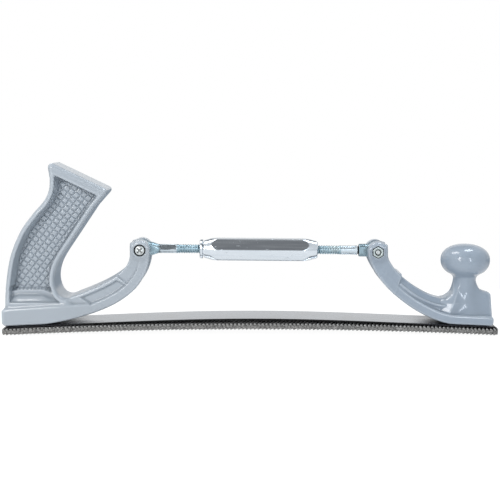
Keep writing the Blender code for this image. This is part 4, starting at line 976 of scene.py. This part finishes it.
def sleeve(name, look):
    """A hexagon bar with turned ends, of which the rear one has a lip and a groove, and a bore."""
    half = PIVOT_SPAN / 2 - ROD_SHOWN
    corner, lip, groove, neck, chamfer = 9.0, 6.9, 5.2, 6.2, 0.8
    over = corner + 0.3
    ends = [(0, lip - chamfer), (0.25, lip - 0.3), (chamfer, lip), (2.0, lip), (2.2, lip - 0.3), (2.25, groove),
            (3.05, groove), (3.1, neck), (13.5, over)]
    back = [(2 * half - 12, over), (2 * half - chamfer, neck), (2 * half, neck - chamfer)]
    turn_at, turn_radius = np.array(ends + back).T
    along = np.concatenate([turn_at[:-3], np.arange(3.1, 13.6, 0.35), np.linspace(13.6, 2 * half - 12, 24),
                            np.arange(2 * half - 12, 2 * half, 0.35), turn_at[-2:]])
    sextant = np.array([0, 1.2, 3, 6, 10, 15, 20, 25, 30, 35, 40, 45, 50, 54, 57, 58.8])
    angle = np.radians(np.concatenate([sextant + 60 * i for i in range(6)]))
    flat = corner * math.cos(math.pi / 6) / np.cos(np.mod(angle, math.pi / 3) - math.pi / 6)
    flat = np.minimum(flat, corner - 0.22)
    mouth = SLEEVE_BORE + 0.5
    rounds = [(half, SLEEVE_BORE), (1.0, SLEEVE_BORE), (0.0, mouth)]
    for at in np.unique(np.round(along, 6)):
        rounds.append((at, smooth_min(flat, np.interp(at, turn_at, turn_radius), 0.3)))
    rounds += [(2 * half, mouth), (2 * half - 1, SLEEVE_BORE), (half, SLEEVE_BORE)]
    start = np.array(REAR_PIVOT) + AXIS[[0, 2]] * ROD_SHOWN
    rings = [round_axis(start, at, radius, angle) for at, radius in rounds]
    return outward(piece(name, *loft(rings, capped=False), look, 35))


# Small fasteners
FASTENER_STEP = 0.2
SCREW_BOX, NUT_BOX = ((-3.93, -12.93, -3.91), (3.9, 13.7, 3.9)), ((-4.43, 9.57, -4.41), (4.4, 13.6, 4.4))
# Shares of painted shade in a screw's cross recess, in a nut's bore and on a screw's end.
SCREW_RECESS_SHADE, NUT_BORE_SHADE, SCREW_END_SHADE = 0.65, 0.3, 0.24
HEAD_HEIGHT, HEAD_DOME = 2.4, 6.2
CROSS_REACH, CROSS_HALF, CROSS_DEPTH = 2.3, 0.5, 1.3


def screw_shape(x, z, out):
    base = FORK_HALF - COUNTERBORE_DEPTH + SEAT_GAP
    face = base + HEAD_HEIGHT
    radius = np.hypot(x, z)
    head = np.maximum(radius - PIVOT_HEAD, base - out)
    dome = np.sqrt(radius**2 + (out - face + HEAD_DOME) ** 2) - HEAD_DOME
    head = smooth_max(head, dome, 0.5)
    shank = np.maximum(radius - PIVOT_RADIUS, np.abs(out) - FORK_HALF)
    shank = np.maximum(shank, radius - out - FORK_HALF - PIVOT_RADIUS + 0.6)
    body = np.minimum(head, shank)
    diagonals = (x + z) / math.sqrt(2), (x - z) / math.sqrt(2)
    for a, b in (diagonals, diagonals[::-1]):
        bar = np.maximum(np.abs(a) - CROSS_REACH + 0.5 * (face - out), np.abs(b) - CROSS_HALF)
        bar = np.maximum(bar, face - CROSS_DEPTH - out)
        body = smooth_max(body, -bar, 0.15)
    return body


def nut_shape(x, z, out):
    floor = FORK_HALF - NUT_POCKET + SEAT_GAP
    face = floor + NUT_HEIGHT
    radius = np.hypot(x, z)
    body = np.maximum(hexagon(x, z) - NUT_ACROSS / 2, np.maximum(out - face, floor - out))
    cone = (radius - NUT_ACROSS / 2 + (out - face) * 1.7) / 1.97
    body = smooth_max(body, cone, 0.2)
    bore = np.minimum(radius - PIVOT_RADIUS - 0.12, (radius - PIVOT_RADIUS - 0.6 - (out - face)) / 1.41)
    return np.maximum(body, -bore)


def fastener(name, pivot, side, shape, box, shade_amount, look):
    """A piece on a pivot's axis; shape gives its field from x, z and the way out of its side."""
    grid = Grid(*box, FASTENER_STEP)
    points, faces, _ = surface_net(shape(grid.x, grid.z, grid.y), grid.low, grid.step)
    radius, out = np.hypot(points[:, 0], points[:, 2]), points[:, 1]
    points = np.stack([pivot[0] + points[:, 0], side * out, pivot[1] + points[:, 2]], -1)
    made = piece(name, points, faces[:, ::-1] if side < 0 else faces, look, 50)
    # Painted shade in the cross recess of a screw, the bore of a nut, and on a screw's end inside the nut.
    recess = (radius < 2.6) & (out > 10) & (out < 12.75)
    marked(made, "painted_shade", np.where(recess, shade_amount, SCREW_END_SHADE * (out < -12)))
    return made


# Build
# One paint in two copies: the front one darker, as painted shade, and the rear one a touch warmer.
paint = paint_look("cast_paint", (1.03, 1.0, 0.96))
shaded_front_paint = paint_look("shaded_front_paint", (0.83, 0.86, 0.89))
file_steel = file_look()
spring_steel = strip_look()
zinc = zinc_look("zinc", (0.225, 0.33, 0.385), (0.36, 0.485, 0.55), (0.44, 0.46, 0.44))
bright_zinc = zinc_look("screw_zinc", (0.6, 0.635, 0.64), (0.76, 0.8, 0.805), (0.64, 0.65, 0.6))
nut_zinc = zinc_look("nut_zinc", (0.37, 0.42, 0.425), (0.51, 0.57, 0.575), (0.44, 0.48, 0.45))
plating = plating_look()


def carried(obj, body, slot, *nodes):
    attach(obj, body)
    if nodes:
        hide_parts(*nodes)


carried(rear_casting(paint), "rear_holder", "cast_paint", "rear_handle")
carried(front_casting(shaded_front_paint), "front_holder", "cast_paint", "front_handle")
for word, side in (("near", -1), ("far", 1)):
    carried(checkered(f"grip_checker_{word}", side, paint), "rear_holder", "cast_paint")
carried(eye_rod("left_rod", REAR_PIVOT, 1, True, zinc), "rear_rod", "zinc", "left_hand_eye_rod")
carried(eye_rod("right_rod", FRONT_PIVOT, -1, False, zinc), "front_rod", "zinc", "right_hand_eye_rod")
carried(sleeve("hex_sleeve", plating), "sleeve", "bright_plating", "turnbuckle_sleeve")
for word, pivot, side in (("rear", REAR_PIVOT, -1), ("front", FRONT_PIVOT, 1)):
    screw = fastener(f"{word}_pan_screw", pivot, side, screw_shape, SCREW_BOX, SCREW_RECESS_SHADE, bright_zinc)
    carried(screw, f"{word}_holder", "zinc", f"{word}_pivot_screw")
    nut = fastener(f"{word}_hex_nut", pivot, -side, nut_shape, NUT_BOX, NUT_BORE_SHADE, nut_zinc)
    carried(nut, f"{word}_holder", "zinc", f"{word}_pivot_nut")

for word, end in (("rear", REAR), ("front", FRONT)):
    for obj, slot, node in (
        (blade_half(f"blade_{word}_half", end, file_steel), "file_steel", "file_blade"),
        (strip_half(f"strip_{word}_half", end, spring_steel), "spring_steel", "flex_strip"),
    ):
        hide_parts(node)
        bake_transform(obj)

for name, obj in frame["nodes"].items():
    if not obj.hide_render:
        obj.data.materials.clear()
        obj.data.materials.append(spring_steel if "rivet" in name else zinc)


# Stage
FLOOR = [(-2000, -2000, 0), (2000, -2000, 0), (2000, 180, 0), (-2000, 180, 0)]
FLOOR_LEVEL, FLOOR_GLOW = -0.0005, 0.94
BRIGHT, DIM, OVERHEAD, BELOW = (0.85, 0.86, 0.87), (0.25, 0.25, 0.255), (0.7, 0.7, 0.7), (0.25, 0.3, 0.36)
WARM, COOL = (1.0, 0.98, 0.96), (0.86, 0.93, 1.0)
LAMP_TARGET = (0, 0, 0.05)
CAMERA_PLACE, CAMERA_DOWN, CAMERA_LENS, CAMERA_SENSOR = (0, -0.700, 0.149), 7.3, 70.4, 36.0


def emptied(made):
    """The nodes of a new material or world, without those that it starts with."""
    made.use_nodes = True
    made.node_tree.nodes.clear()
    return Nodes(made.node_tree)


def floor():
    """A plane that glows to the camera, and less towards its back in mirrors, and is matt to other light."""
    made = bpy.data.materials.new("floor")
    look = emptied(made)
    path = look.node("LightPath").outputs
    place = look.node("TexCoord").outputs["Object"]
    depth = look.node("SeparateXYZ", {0: place}).outputs["Y"]
    seen = look.math("MULTIPLY", path["Is Camera Ray"], FLOOR_GLOW)
    strength = look.math("MAXIMUM", seen, look.ramp(depth, 0.02, 0.17, FLOOR_GLOW, 0.3))
    glow = look.out("Emission", {"Strength": strength})
    thin, matt = (look.out("BsdfDiffuse", {"Color": (c, c, c)}) for c in (0.2, 0.85))
    pale = look.out("AddShader", {0: thin, 1: glow})
    shown = look.math("MAXIMUM", path["Is Camera Ray"], path["Is Glossy Ray"])
    look.node("OutputMaterial", {"Surface": look.blend(shown, matt, pale)})
    obj = piece("floor", FLOOR, [(0, 1, 2, 3)], made)
    obj.location.z = FLOOR_LEVEL


def world_light():
    """Soft light, white to the camera; mirrors see it bright low down and at the sides, dim above."""
    made = bpy.data.worlds.new("studio")
    bpy.context.scene.world = made
    look = emptied(made)
    path = look.node("LightPath").outputs
    way = look.node("SeparateXYZ", {0: look.node("TexCoord").outputs["Generated"]}).outputs
    ramp = look.node("ValToRGB", {0: way["Z"]})
    stops = ramp.color_ramp.elements
    stops[0].position, stops[1].position = 0.4, 0.62
    for place in (0.92, 1.0):
        stops.new(place)
    for stop, colour in zip(stops, (BRIGHT, DIM, DIM, OVERHEAD)):
        stop.color = (*colour, 1)
    aside = look.ramp(look.math("ABSOLUTE", way["X"]), 0.28, 0.42)
    lit = look.mix(aside, ramp.outputs[0], BRIGHT)
    seen = look.mix(look.ramp(way["Z"], -0.04, 0.03), BELOW, lit)
    mirror = look.out("Background", {"Color": seen})
    soft = look.out("Background", {"Color": (0.9, 0.95, 1.0), "Strength": 0.41})
    white = look.out("Background", {"Color": (1, 1, 1)})
    unseen = look.blend(path["Is Glossy Ray"], soft, mirror)
    look.node("OutputWorld", {"Surface": look.blend(path["Is Camera Ray"], unseen, white)})


def lamp(name, place, size, energy, colour):
    light = bpy.data.lights.new(name, "AREA")
    light.shape = "RECTANGLE"
    light.size, light.size_y = size
    light.energy, light.color = energy, colour
    obj = placed(name, light)
    obj.location = place
    away = unit(np.array(place) - LAMP_TARGET)
    obj.rotation_euler = (math.acos(away[2]), 0, math.atan2(away[0], -away[1]))


def camera():
    data = bpy.data.cameras.new("camera")
    data.lens, data.sensor_width = CAMERA_LENS, CAMERA_SENSOR
    data.clip_start = 0.01
    obj = placed("camera", data)
    obj.location = CAMERA_PLACE
    obj.rotation_euler = (math.radians(90 - CAMERA_DOWN), 0, 0)
    bpy.context.scene.camera = obj


floor()
world_light()
lamp("left", (-0.45, -0.72, 0.43), (0.17, 0.56), 3.6, WARM)
lamp("right", (0.37, -0.93, 0.33), (0.11, 0.45), 1.8, COOL)
lamp("over_left", (-0.34, 0.15, 0.92), (0.26, 0.4), 2.7, WARM)
lamp("over_right", (0.34, 0.25, 0.98), (0.22, 0.34), 2.7, COOL)
camera()
bpy.context.scene.view_settings.view_transform = "Standard"
